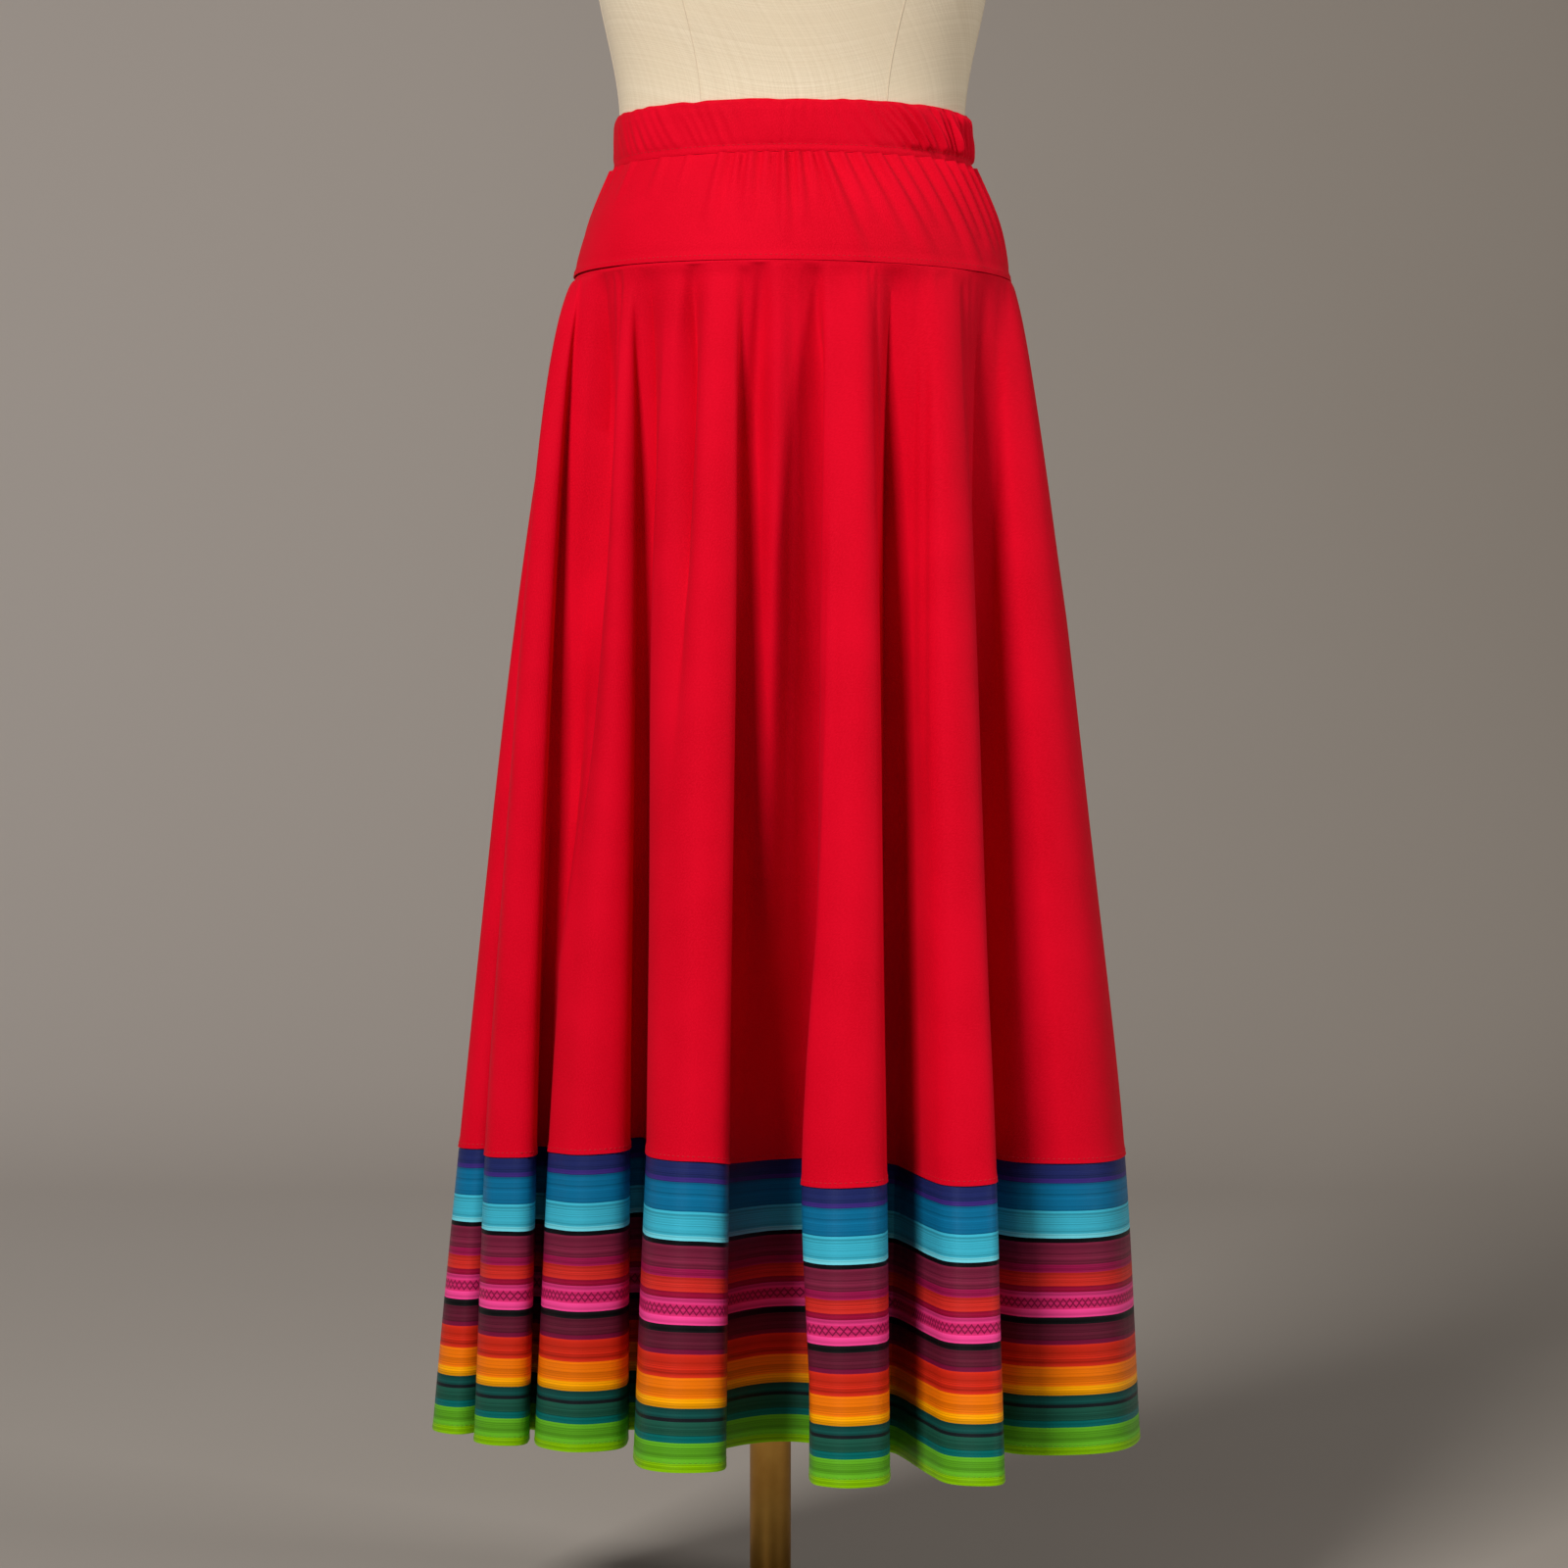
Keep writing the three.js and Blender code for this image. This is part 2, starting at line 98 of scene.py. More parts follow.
# Smaller folds, and furrows where the height is below 0: where round in flutes and how far they lean, half
# width in flutes, how far down they run, a power that puts the fullest part high up where it is small, and
# their height in mm.
SMALL_FOLDS = table(
    "at lean half to power height",
    (1.5, 0.32, 0.13, 0.62, 0.8, 9),
    (2.68, 0.1, 0.13, 0.75, 0.75, 9),
    (3.51, 0, 0.11, 0.85, 0.75, 13),
    (9.5, 0, 0.15, 0.8, 0.75, 7),
    (11.5, 0, 0.15, 0.7, 0.75, 6),
    (1.74, -0.02, 0.34, 0.6, 0.75, -24),
    (2.44, 0, 0.24, 0.9, 0.75, -9),
    (2.87, 0, 0.1, 0.45, 0.6, -8),
    (3.36, 0, 0.12, 0.5, 0.6, -9),
    (3.56, 0, 0.24, 1.08, 2, -42),
    (3.71, -0.08, 0.1, 1.0, 0.9, -24),
    (4.55, 0, 0.17, 0.9, 0.7, -12),
    (5.5, 0, 0.18, 0.95, 0.75, -10),
)

# Creases and soft troughs of the cloth: where round and how far they lean, half width in
# flutes, where they start below the yoke and where they end, and their height in mm.
CREASES = table(
    "at lean half top bottom height",
    (1.6, 0.05, 0.12, 0, 0.34, -6),
    (1.98, -0.08, 0.1, 0, 0.3, -4),
    (2.84, 0, 0.08, 0, 0.3, -4),
    (0.86, 0, 0.10, 0.02, 0.34, -3.0),
    (1.5, 0, 0.10, 0.004, 0.3, -4.0),
    (2.5, 0, 0.09, 0.004, 0.34, -5.0),
    (2.8, 0.06, 0.07, 0.004, 0.42, -5.5),
    (3.24, 0.08, 0.09, 0.004, 0.62, -8.0),
    (3.75, -0.08, 0.08, 0.004, 0.66, -8.0),
    (3.86, 0, 0.03, 0.2, 0.56, 1.6),
    (4.5, 0, 0.10, 0.004, 0.4, -7.0),
    (4.82, 0.03, 0.06, 0.06, 0.5, -1.8),
    (5.2, 0, 0.07, 0.01, 0.2, -2.0),
    (5.52, 0, 0.07, 0.01, 0.34, -3.0),
    (6.12, 0, 0.07, 0.02, 0.3, -2.2),
    (7.3, 0, 0.09, 0.01, 0.3, -2.4),
    (7.62, 0, 0.09, 0.004, 0.3, -2.6),
    (8.2, 0, 0.07, 0.02, 0.4, -3.0),
    (9.1, 0.05, 0.07, 0.01, 0.36, -3.6),
    (9.8, -0.04, 0.08, 0.004, 0.4, -3.6),
    (10.5, 0, 0.10, 0.004, 0.36, -5.0),
    (10.84, 0, 0.05, 0.05, 0.4, 1.6),
    (11.2, 0.04, 0.08, 0.004, 0.5, -5.0),
    (12.2, 0, 0.07, 0.01, 0.3, -3.0),
    (12.55, 0, 0.08, 0.004, 0.34, -4.0),
    (13.4, 0, 0.06, 0.02, 0.2, 2.0),
    (1, 0, 0.22, 0.02, 0.9, 2.0),
    (2.12, 0, 0.2, 0.02, 0.9, 5.0),
    (3, 0, 0.26, 0.01, 0.92, 6.0),
    (4.05, 0, 0.26, 0.01, 0.92, 6.0),
    (4.95, 0, 0.26, 0.01, 0.92, 6.0),
    (5.85, 0, 0.2, 0.05, 0.9, 4.0),
    (8, 0, 0.24, 0.02, 0.9, 4.0),
    (9, 0, 0.26, 0.01, 0.92, 6.0),
    (10.04, 0, 0.26, 0.01, 0.92, 6.0),
    (11, 0, 0.26, 0.01, 0.92, 6.0),
    (11.96, 0, 0.26, 0.01, 0.92, 5.5),
    (13, 0, 0.22, 0.02, 0.9, 3.0),
)

# Sections of the dress form: height, half width, half depth, how far it is set back.
FORM = table(
    "z half_width half_depth back",
    (760, 118, 86, 2),
    (770, 128, 94, 3),
    (815, 136, 99, 4),
    (880, 138, 100, 4),
    (946, 134, 97, 3),
    (988, 122, 87, 1),
    (1013, 116.8, 82.8, 0),
    (1034, 116.4, 82.6, 0),
    (1056, 117, 83, 0),
    (1134, 131, 94, -4),
    (1225, 148, 110, -10),
    (1300, 152, 102, -5),
    (1352, 154, 84, 3),
    (1388, 140, 68, 9),
    (1412, 104, 58, 12),
    (1434, 66, 53, 14),
    (1456, 54, 51, 14),
    (1480, 50, 50, 14),
)

# The serape stripes from the top of the hem band to the hem: height in mm and colour.
STRIPES = (
    (10.6, (30, 38, 89)),
    (3.5, (54, 38, 112)),
    (17.7, (12, 104, 146)),
    (14.8, (58, 172, 197)),
    (3.0, (113, 215, 231)),
    (3.0, (14, 14, 18)),
    (14.8, (114, 32, 58)),
    (4.7, (156, 24, 76)),
    (9.5, (197, 43, 36)),
    (3.5, (158, 16, 56)),
    (4.1, (224, 58, 128)),
    (7.1, (208, 42, 106)),
    (5.3, (246, 72, 150)),
    (4.7, (18, 20, 21)),
    (10.0, (90, 27, 46)),
    (3.5, (119, 20, 58)),
    (14.2, (202, 42, 24)),
    (12.4, (226, 112, 8)),
    (5.9, (240, 158, 2)),
    (5.9, (18, 72, 68)),
    (2.4, (22, 28, 32)),
    (8.3, (28, 82, 67)),
    (4.7, (4, 95, 92)),
    (13.0, (90, 162, 32)),
    (5.3, (140, 202, 4)),
)
LOZENGE_STRIPE = 11  # the pink stripe that carries a row of small lozenges


# ---- small helpers ----
def ease(x):
    """A smooth step from 0 to 1."""
    x = np.clip(x, 0, 1)
    return x * x * (3 - 2 * x)


def hump(x):
    """A smooth hump, 1 at 0 and 0 beyond -1 and 1."""
    return np.where(np.abs(x) < 1, np.cos(np.clip(x, -1, 1) * np.pi / 2) ** 2, 0.0)


def soft_noise(x, y, seed, period=None):
    """Smooth noise from -1 to 1 on a lattice of whole numbers; x repeats after the period."""

    def corner(i, j):
        i = np.mod(i, period) if period else i
        value = np.sin(i * 127.1 + j * 311.7 + seed * 74.7) * 43758.5453
        return (value - np.floor(value)) * 2 - 1

    i, j = np.floor(x), np.floor(y)
    wx, wy = ease(x - i), ease(y - j)
    upper = corner(i, j) * (1 - wx) + corner(i + 1, j) * wx
    lower = corner(i, j + 1) * (1 - wx) + corner(i + 1, j + 1) * wx
    return upper * (1 - wy) + lower * wy


def on_ellipse(angle, half_width, half_depth):
    """Points in plan; angle 0 is the front and grows towards +X."""
    return np.stack([half_width * np.sin(angle), -half_depth * np.cos(angle)], -1)


def level_normals(along):
    """Level unit vectors that point outwards, square to directions towards growing u."""
    along = along[..., :2] / np.linalg.norm(along[..., :2], axis=-1, keepdims=True)
    return np.stack([along[..., 1], -along[..., 0], np.zeros(along.shape[:-1])], -1)


def outward(points):
    """Level normals of a grid whose columns run towards growing u."""
    return level_normals(np.gradient(points, axis=1))


# ---- the flared surface: u counts flutes, t runs from 0 at the yoke to 1 at the hem ----
def ring(crest, valley, turn=0.0):
    """Values at crests and valleys, eased from each to the next; turn is added once round."""
    values = np.stack([crest, valley], 1).ravel()

    def at(u):
        k = np.floor(u * 2).astype(int)
        w = u * 2 - k
        w = w if turn else ease(w)
        low = values[k % len(values)] + turn * (k // len(values))
        high = values[(k + 1) % len(values)] + turn * ((k + 1) // len(values))
        return low * (1 - w) + high * w

    return at


seam_angle = ring(FLUTES["seam"], FLUTES["v_seam"], 360.0)
growth = ring(FLUTES["grow"], FLUTES["v_grow"])
swing = ring(FLUTES["swing"], 0 * FLUTES["swing"])
drop = ring(FLUTES["drop"], FLUTES["v_drop"])
bulge = ring(FLUTES["bulge"], 0 * FLUTES["bulge"])


# How far a flute's shoulders lie inside its tip, as a share of its half width; less than 0 lies outside.
CREST_ROUNDING, VALLEY_ROUNDING = 0.55, -0.3


def hem_controls():
    """Shoulder, tip and shoulder of each crest and valley in turn."""
    tips = []
    kinds = (("x", "y", "half", "face", CREST_ROUNDING), ("v_x", "v_y", "v_half", "v_face", VALLEY_ROUNDING))
    for x, y, half, face, rounding in kinds:
        a = np.radians(FLUTES[face])
        tangent = np.stack([np.cos(a), np.sin(a)], -1) * FLUTES[half][:, None]
        back = np.stack([-np.sin(a), np.cos(a)], -1) * (rounding * FLUTES[half])[:, None]
        tip = np.stack([FLUTES[x], FLUTES[y]], -1)
        tips.append(np.stack([tip - tangent + back, tip, tip + tangent + back], 1))
    return np.concatenate(tips, axis=1).reshape(-1, 2)


HEM_CONTROLS = hem_controls()


def hem_curve(u):
    """A closed centripetal Catmull-Rom curve through the controls."""
    k = np.mod(u * 6 + 1, len(HEM_CONTROLS))
    i = np.floor(k).astype(int)
    w = (k - i)[..., None]
    p0, p1, p2, p3 = (HEM_CONTROLS[(i + step) % len(HEM_CONTROLS)] for step in (-1, 0, 1, 2))

    def knot(a, b):
        return np.linalg.norm(a - b, axis=-1, keepdims=True) ** 0.5

    t0, t1, t2 = knot(p0, p1), knot(p1, p2), knot(p2, p3)
    m1 = ((p1 - p0) / t0 - (p2 - p0) / (t0 + t1) + (p2 - p1) / t1) * t1
    m2 = ((p2 - p1) / t1 - (p3 - p1) / (t1 + t2) + (p3 - p2) / t2) * t1
    return (((2 * p1 - 2 * p2 + m1 + m2) * w - 3 * p1 + 3 * p2 - 2 * m1 - m2) * w + m1) * w + p1


def flare_plan(u, t):
    """Points in plan between the ellipse under the yoke and the hem's curve."""
    tuck = LAP_SLOPE * np.maximum(0, YOKE_LAP - FLARE_HEIGHT * t)
    top = on_ellipse(np.radians(seam_angle(u)), FLARE_TOP[0] - tuck, FLARE_TOP[1] - tuck)
    opened = np.maximum(0, (t - LAP_T) / (1 - LAP_T)) ** growth(u)
    return top + (hem_curve(u) - top) * opened[..., None]


def soft_plan(u, t):
    """The plan with its corners softened by neighbours to both sides."""
    step, weights = 0.025, (1, 4, 6, 4, 1)
    return sum(w / 16 * flare_plan(u + (i - 2) * step, t) for i, w in enumerate(weights))


def round_distance(u, at):
    """How far u is from a place, in flutes, the shorter way round."""
    return np.mod(u - at + COUNT / 2, COUNT) - COUNT / 2


def edge_rise(angle):
    """How far the yoke's lower edge is set above its level: a little higher on the left than on the right."""
    return 0.8 - 1.8 * np.sin(angle)


def flare_surface(u, t):
    """Grid of points on the middle of the cloth."""
    plan = soft_plan(u, t)
    step = 0.001
    along = soft_plan(u + step, t) - soft_plan(u - step, t)
    along /= np.linalg.norm(along, axis=-1, keepdims=True)
    out = np.stack([along[..., 1], -along[..., 0]], -1)
    lift = np.zeros(u.shape)
    for at, lean, half, to, power, height in zip(*SMALL_FOLDS.values()):
        down = np.clip((t - LAP_T) / (to - LAP_T), 0, 1)
        lift += height * hump(round_distance(u, at + lean * down) / half) * np.sin(np.pi * down**power)
    for at, lean, half, top, bottom, height in zip(*CREASES.values()):
        down = np.clip((t - LAP_T - top) / (bottom - LAP_T - top), 0, 1)
        lift += height * hump(round_distance(u, at + lean * down) / half) * np.sin(np.pi * down**0.6)
    uneven = 1.3 * soft_noise(u * 4, t * 2.2, 1, COUNT * 4) + 0.5 * soft_noise(u * 11, t * 3.1, 2, COUNT * 11)
    lift += ease((t - LAP_T) / 0.12) * uneven
    puckers = np.exp(-np.maximum(0, t - LAP_T) / 0.022) * ease((t - LAP_T) / 0.008)
    lift += 0.7 * puckers * soft_noise(u * 16, t * 12, 3, COUNT * 16)
    # Below the yoke's edge the cloth comes out flush with it, less so at the sides.
    angle = np.radians(seam_angle(u))
    below_yoke = FLARE_HEIGHT * t - YOKE_LAP + edge_rise(angle)
    flush = 1.5 - 0.9 * ease((np.abs(np.sin(angle)) - 0.7) / 0.12)
    lift += flush * ease(below_yoke / 0.5) * np.exp(-((np.maximum(0, below_yoke) / 8) ** 2))
    near_band = np.exp(-(((t - BAND_T) / 0.22) ** 2))
    lift += bulge(u) * near_band
    plan = plan + out * lift[..., None] + along * (swing(u) * near_band)[..., None]
    sag = np.where(t < BAND_T, (t / BAND_T) ** 2, 1 - 0.75 * (t - BAND_T) / (1 - BAND_T))
    z = FLARE_TOP_Z - FLARE_HEIGHT * t - drop(u) * sag
    return np.concatenate([plan, z[..., None]], -1)


def hem_spaced(span, columns):
    """Places round the skirt from one end of a span to the other, evenly spaced along the hem."""
    u = np.linspace(*span, columns * 6 + 1)
    points = flare_surface(u[None], np.ones((1, len(u))))[0]
    length = np.concatenate([[0], np.cumsum(np.linalg.norm(np.diff(points, axis=0), axis=1))])
    return np.interp(np.linspace(0, length[-1], columns + 1), length, u)


# ---- meshes ----
def placed(name, data):
    """A new object in the scene."""
    thing = bpy.data.objects.new(name, data)
    bpy.context.scene.collection.objects.link(thing)
    return thing


def mesh_of(name, points, faces, uv, material, closed=False):
    """An object on body root from points in mm in the skirt's frame, its faces and a uv for each point."""
    mesh = bpy.data.meshes.new(name)
    shifted = (np.asarray(points) + (FORM_X, 0, 0)) * 0.001
    mesh.from_pydata(shifted.tolist(), [], faces)
    if uv is not None:
        layer = mesh.uv_layers.new(name="cloth")
        corners = np.empty(len(mesh.loops), int)
        mesh.loops.foreach_get("vertex_index", corners)
        layer.data.foreach_set("uv", np.asarray(uv, float)[corners].ravel())
    if closed:
        work = bmesh.new()
        work.from_mesh(mesh)
        bmesh.ops.remove_doubles(work, verts=work.verts, dist=1e-6)
        work.to_mesh(mesh)
        work.free()
    mesh.polygons.foreach_set("use_smooth", np.ones(len(mesh.polygons), bool))
    mesh.set_sharp_from_angle(angle=math.radians(50))
    piece = placed(name, mesh)
    mesh.materials.append(material)
    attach(piece, "root")
    return piece


def quads(p, q, r, s):
    """Faces from four arrays of corners."""
    return np.stack([p.ravel(), q.ravel(), r.ravel(), s.ravel()], 1)


def ring_faces(rings, sides):
    """Faces between rings of points that follow one another."""
    return [
        [i * sides + j, i * sides + (j + 1) % sides, (i + 1) * sides + (j + 1) % sides, (i + 1) * sides + j]
        for i in range(rings - 1)
        for j in range(sides)
    ]


def shell(name, outer, inner, uv, material, closed=False):
    """A closed wall between two grids, rows downwards and columns towards growing u."""
    rows, columns = outer.shape[:2]
    a = np.arange(rows * columns).reshape(rows, columns)
    b = a + rows * columns
    faces = [
        quads(a[:-1, :-1], a[1:, :-1], a[1:, 1:], a[:-1, 1:]),
        quads(b[:-1, :-1], b[:-1, 1:], b[1:, 1:], b[1:, :-1]),
        quads(a[0, :-1], a[0, 1:], b[0, 1:], b[0, :-1]),
        quads(a[-1, :-1], b[-1, :-1], b[-1, 1:], a[-1, 1:]),
    ]
    if not closed:
        faces.append(quads(a[:-1, 0], b[:-1, 0], b[1:, 0], a[1:, 0]))
        faces.append(quads(a[:-1, -1], a[1:, -1], b[1:, -1], b[:-1, -1]))
    points = np.concatenate([outer.reshape(-1, 3), inner.reshape(-1, 3)])
    both = np.concatenate([uv.reshape(-1, 2)] * 2)
    return mesh_of(name, points, np.concatenate(faces).tolist(), both, material, closed)


def lengths(points, axis):
    """Distance run along one axis of a grid, in metres."""
    step = np.linalg.norm(np.diff(points, axis=axis), axis=-1)
    zero = np.zeros_like(np.take(step, [0], axis=axis))
    return np.concatenate([zero, np.cumsum(step, axis=axis)], axis=axis) * 0.001


def flat_uv(points):
    """Where each point of a grid lies on the flat cloth: along it and down it, in metres."""
    return np.stack([lengths(points, 1), lengths(points, 0)], -1)


# ---- materials ----
def paint(r, g, b, share=1.0):
    """Linear colour with alpha of a display colour from 0 to 255, darkened to a share."""
    shown = (r / 255, g / 255, b / 255)
    linear = (c / 12.92 if c <= 0.04045 else ((c + 0.055) / 1.055) ** 2.4 for c in shown)
    return (*(c * share for c in linear), 1.0)


class Nodes:
    """A short way to build a node tree."""

    def __init__(self, name):
        self.material = bpy.data.materials.new(name)
        self.material.use_nodes = True
        self.tree = self.material.node_tree
        self.shader = self.tree.nodes["Principled BSDF"]

    def add(self, kind, inputs=(), **settings):
        node = self.tree.nodes.new(kind)
        for key, value in settings.items():
            setattr(node, key, value)
        for key, value in dict(inputs).items():
            self.set(node, key, value)
        return node

    def set(self, node, key, value):
        if isinstance(value, bpy.types.NodeSocket):
            self.tree.links.new(value, node.inputs[key])
        else:
            node.inputs[key].default_value = value

    def math(self, operation, a, b=0.0):
        return self.add("ShaderNodeMath", {0: a, 1: b}, operation=operation).outputs[0]

    def scaled(self, value, scale, offset):
        inputs = {0: value, 1: scale, 2: offset}
        return self.add("ShaderNodeMath", inputs, operation="MULTIPLY_ADD").outputs[0]

    def noise(self, place, scale, detail=2.0):
        return self.add("ShaderNodeTexNoise", {"Vector": place, "Scale": scale, "Detail": detail}).outputs[0]

    def ribs(self, value, pitch):
        """Rounded ribs across a length in metres."""
        return self.math("ABSOLUTE", self.math("SINE", self.math("MULTIPLY", value, math.pi / pitch)))

    def uneven_rows(self, value, pitch, seed):
        """A random number from 0 to 1 for each row across a length in metres."""
        row = self.math("FLOOR", self.math("DIVIDE", value, pitch))
        inputs = {"W": self.math("ADD", row, seed)}
        return self.add("ShaderNodeTexWhiteNoise", inputs, noise_dimensions="1D").outputs[0]

    def place(self):
        return self.add("ShaderNodeTexCoord").outputs["Object"]

    def mix(self, factor, a, b, blend="MIX"):
        node = self.add("ShaderNodeMix", data_type="RGBA", blend_type=blend)
        for index, value in ((0, factor), (6, a), (7, b)):
            self.set(node, index, value)
        return node.outputs[2]

    def ramp(self, value, low, high):
        node = self.add("ShaderNodeMapRange", {0: value, 1: low, 2: high})
        return node.outputs[0]

    def bump(self, height, strength, distance, onto=None):
        inputs = {"Height": height, "Strength": strength, "Distance": distance}
        if onto is not None:
            inputs["Normal"] = onto
        return self.add("ShaderNodeBump", inputs).outputs[0]

    def finish(self, **sockets):
        for key, value in sockets.items():
            self.set(self.shader, key.replace("_", " "), value)
        return self.material


def cloth_uv(nodes):
    """x runs along the cloth and y down it, in metres."""
    uv = nodes.add("ShaderNodeUVMap", uv_map="cloth").outputs[0]
    split = nodes.add("ShaderNodeSeparateXYZ", {0: uv})
    return uv, split.outputs[0], split.outputs[1]


# Pitches of threads and stitches in metres.
WALE, COURSE = 0.0011, 0.0009
PICK, COARSE_PICK, WARP = 0.0006, 0.0017, 0.0009
LINEN_PITCH = 0.0005
# The lozenges: half their width in metres, the slope of their sides and half the height of the line.
LOZENGE_HALF, LOZENGE_SLOPE, LINE_HALF = 0.0022, 1.3, 0.0006


def red_knit():
    nodes = Nodes("red_knit")
    uv, x, y = cloth_uv(nodes)
    place = nodes.place()
    cloud = nodes.noise(place, 16.0, 3.0)
    fleck = nodes.noise(uv, 900.0)
    base = nodes.mix(nodes.ramp(cloud, 0.35, 0.65), paint(198, 3, 26), paint(210, 5, 32))
    base = nodes.mix(nodes.ramp(fleck, 0.35, 0.95), base, paint(224, 10, 40))
    wales, courses = nodes.ribs(x, WALE), nodes.ribs(y, COURSE)
    knit = nodes.math("ADD", wales, nodes.math("MULTIPLY", courses, 0.45))
    normal = nodes.bump(knit, 0.25, 0.0003)
    normal = nodes.bump(fleck, 0.12, 0.0004, normal)
    rough = nodes.scaled(nodes.ramp(cloud, 0.2, 0.8), 0.12, 0.62)
    return nodes.finish(
        Base_Color=base,
        Roughness=rough,
        Normal=normal,
        Sheen_Weight=0.12,
        Sheen_Roughness=0.4,
        Sheen_Tint=(1.0, 0.06, 0.12, 1.0),
        Specular_IOR_Level=0.3,
        Specular_Tint=(1.0, 0.05, 0.12, 1.0),
    )


def stripe_ramp(nodes, height):
    """Stripe colours from the band's top, where height is 0, to the hem, where it is 1."""
    ramp = nodes.add("ShaderNodeValToRGB", {0: height})
    ramp.color_ramp.interpolation = "CONSTANT"
    total = sum(size for size, _ in STRIPES)
    stops = ramp.color_ramp.elements
    edge = 0.0
    for index, (size, colour) in enumerate(STRIPES):
        stop = stops[index] if index < 2 else stops.new(edge / total)
        stop.position = edge / total
        stop.color = paint(*colour)
        edge += size
    return ramp.outputs[0]


def stripe_edges(index):
    """Heights from the band's top to the start and the end of a stripe, in metres."""
    sizes = [size for size, _ in STRIPES]
    return sum(sizes[:index]) * 0.001, sum(sizes[: index + 1]) * 0.001


def striped_satin():
    nodes = Nodes("striped_satin")
    uv, x, y = cloth_uv(nodes)
    wander = nodes.noise(uv, 30.0, 1.0)
    drift = nodes.math("MULTIPLY", nodes.math("SUBTRACT", wander, 0.5), 0.0008)
    down = nodes.math("ADD", y, drift)
    height = nodes.math("DIVIDE", down, HEM_BAND_HEIGHT * 0.001)
    base = stripe_ramp(nodes, height)

    fine, coarse = nodes.uneven_rows(down, PICK, 3.0), nodes.uneven_rows(down, COARSE_PICK, 71.0)
    shade = nodes.math("ADD", nodes.math("MULTIPLY", fine, 0.42), nodes.math("MULTIPLY", coarse, 0.4))
    shade = nodes.math("ADD", shade, 0.58)
    grey = nodes.add("ShaderNodeCombineColor", {0: shade, 1: shade, 2: shade}).outputs[0]
    base = nodes.mix(1.0, base, grey, "MULTIPLY")

    start, end = stripe_edges(LOZENGE_STRIPE)
    below, above = nodes.math("GREATER_THAN", down, start), nodes.math("LESS_THAN", down, end)
    inside = nodes.math("MULTIPLY", below, above)
    middle = nodes.math("SUBTRACT", down, (start + end) / 2)
    side = nodes.math("MULTIPLY", nodes.math("PINGPONG", x, LOZENGE_HALF), LOZENGE_SLOPE)
    offset = nodes.math("SUBTRACT", nodes.math("ABSOLUTE", middle), side)
    line = nodes.math("LESS_THAN", nodes.math("ABSOLUTE", offset), LINE_HALF)
    base = nodes.mix(nodes.math("MULTIPLY", inside, line), base, paint(120, 18, 60))

    weft, warp = nodes.ribs(down, PICK), nodes.ribs(x, WARP)
    threads = nodes.math("ADD", weft, nodes.math("MULTIPLY", warp, 0.5))
    weave = nodes.math("ADD", nodes.math("MULTIPLY", fine, 0.6), threads)
    normal = nodes.bump(weave, 0.3, 0.00025)
    streak = nodes.add("ShaderNodeMapping", {"Vector": uv, "Scale": (260.0, 6.0, 1.0)}).outputs[0]
    sheen = nodes.noise(streak, 1.0)
    rough = nodes.scaled(sheen, 0.18, 0.3)
    return nodes.finish(
        Base_Color=base,
        Roughness=rough,
        Normal=normal,
        Specular_IOR_Level=0.4,
        Specular_Tint=nodes.mix(0.08, base, (1.0, 1.0, 1.0, 1.0)),
    )


def linen():
    nodes = Nodes("linen")
    uv, x, y = cloth_uv(nodes)
    slub = nodes.math("ADD", nodes.uneven_rows(x, LINEN_PITCH, 5.0), nodes.uneven_rows(y, LINEN_PITCH, 9.0))
    cloud = nodes.noise(uv, 14.0, 3.0)
    base = nodes.mix(nodes.ramp(slub, 0.2, 1.8), paint(212, 196, 168), paint(228, 214, 188))
    base = nodes.mix(nodes.ramp(cloud, 0.3, 0.9), base, paint(222, 206, 176))
    over, under = nodes.ribs(x, LINEN_PITCH), nodes.ribs(y, LINEN_PITCH)
    normal = nodes.bump(nodes.math("ADD", nodes.math("MAXIMUM", over, under), slub), 0.3, 0.0002)
    return nodes.finish(
        Base_Color=base,
        Roughness=0.9,
        Normal=normal,
        Sheen_Weight=0.1,
        Specular_IOR_Level=0.2,
    )


def metal(name, dark, light, metallic, roughness, along=(400.0, 400.0, 3.0)):
    """Satin metal with fine drawn lines, cloudy tarnish and uneven gloss."""
    nodes = Nodes(name)
    place = nodes.place()
    drawn = nodes.add("ShaderNodeMapping", {"Vector": place, "Scale": along}).outputs[0]
    lines = nodes.noise(drawn, 1.0, 3.0)
    cloud = nodes.noise(place, 22.0, 4.0)
    base = nodes.mix(nodes.ramp(cloud, 0.3, 0.7), paint(*dark), paint(*light))
    rough = nodes.scaled(nodes.math("ADD", lines, cloud), 0.12, roughness - 0.12)
    normal = nodes.bump(lines, 0.08, 0.0002)
    return nodes.finish(Base_Color=base, Metallic=metallic, Roughness=rough, Normal=normal)


RED = red_knit()
SERAPE = striped_satin()
LINEN = linen()
BRASS = metal("brass", (196, 138, 54), (232, 178, 84), 0.7, 0.38)
IRON = metal("iron", (30, 27, 25), (44, 40, 37), 0.3, 0.5, (90.0, 90.0, 90.0))


# ---- skirt ----
SHELL_COLUMNS = 360
STITCH_PATH = 1400  # points along a row of stitches
# Rows of the flare in mm from its top: they crowd where the cloth comes out from under the yoke.
FLARE_TOP_ROWS = np.concatenate([[0], np.arange(1.2, 6, 0.36), [7.2, 9.0, 11.5, 14.5]])
FLARE_REST = 18
RED_LAP_T = 1.2 / FLARE_HEIGHT  # the red edge hangs over the band's top by this much
BAND_TUCK_T = 5.0 / FLARE_HEIGHT  # and the band reaches this far up behind it


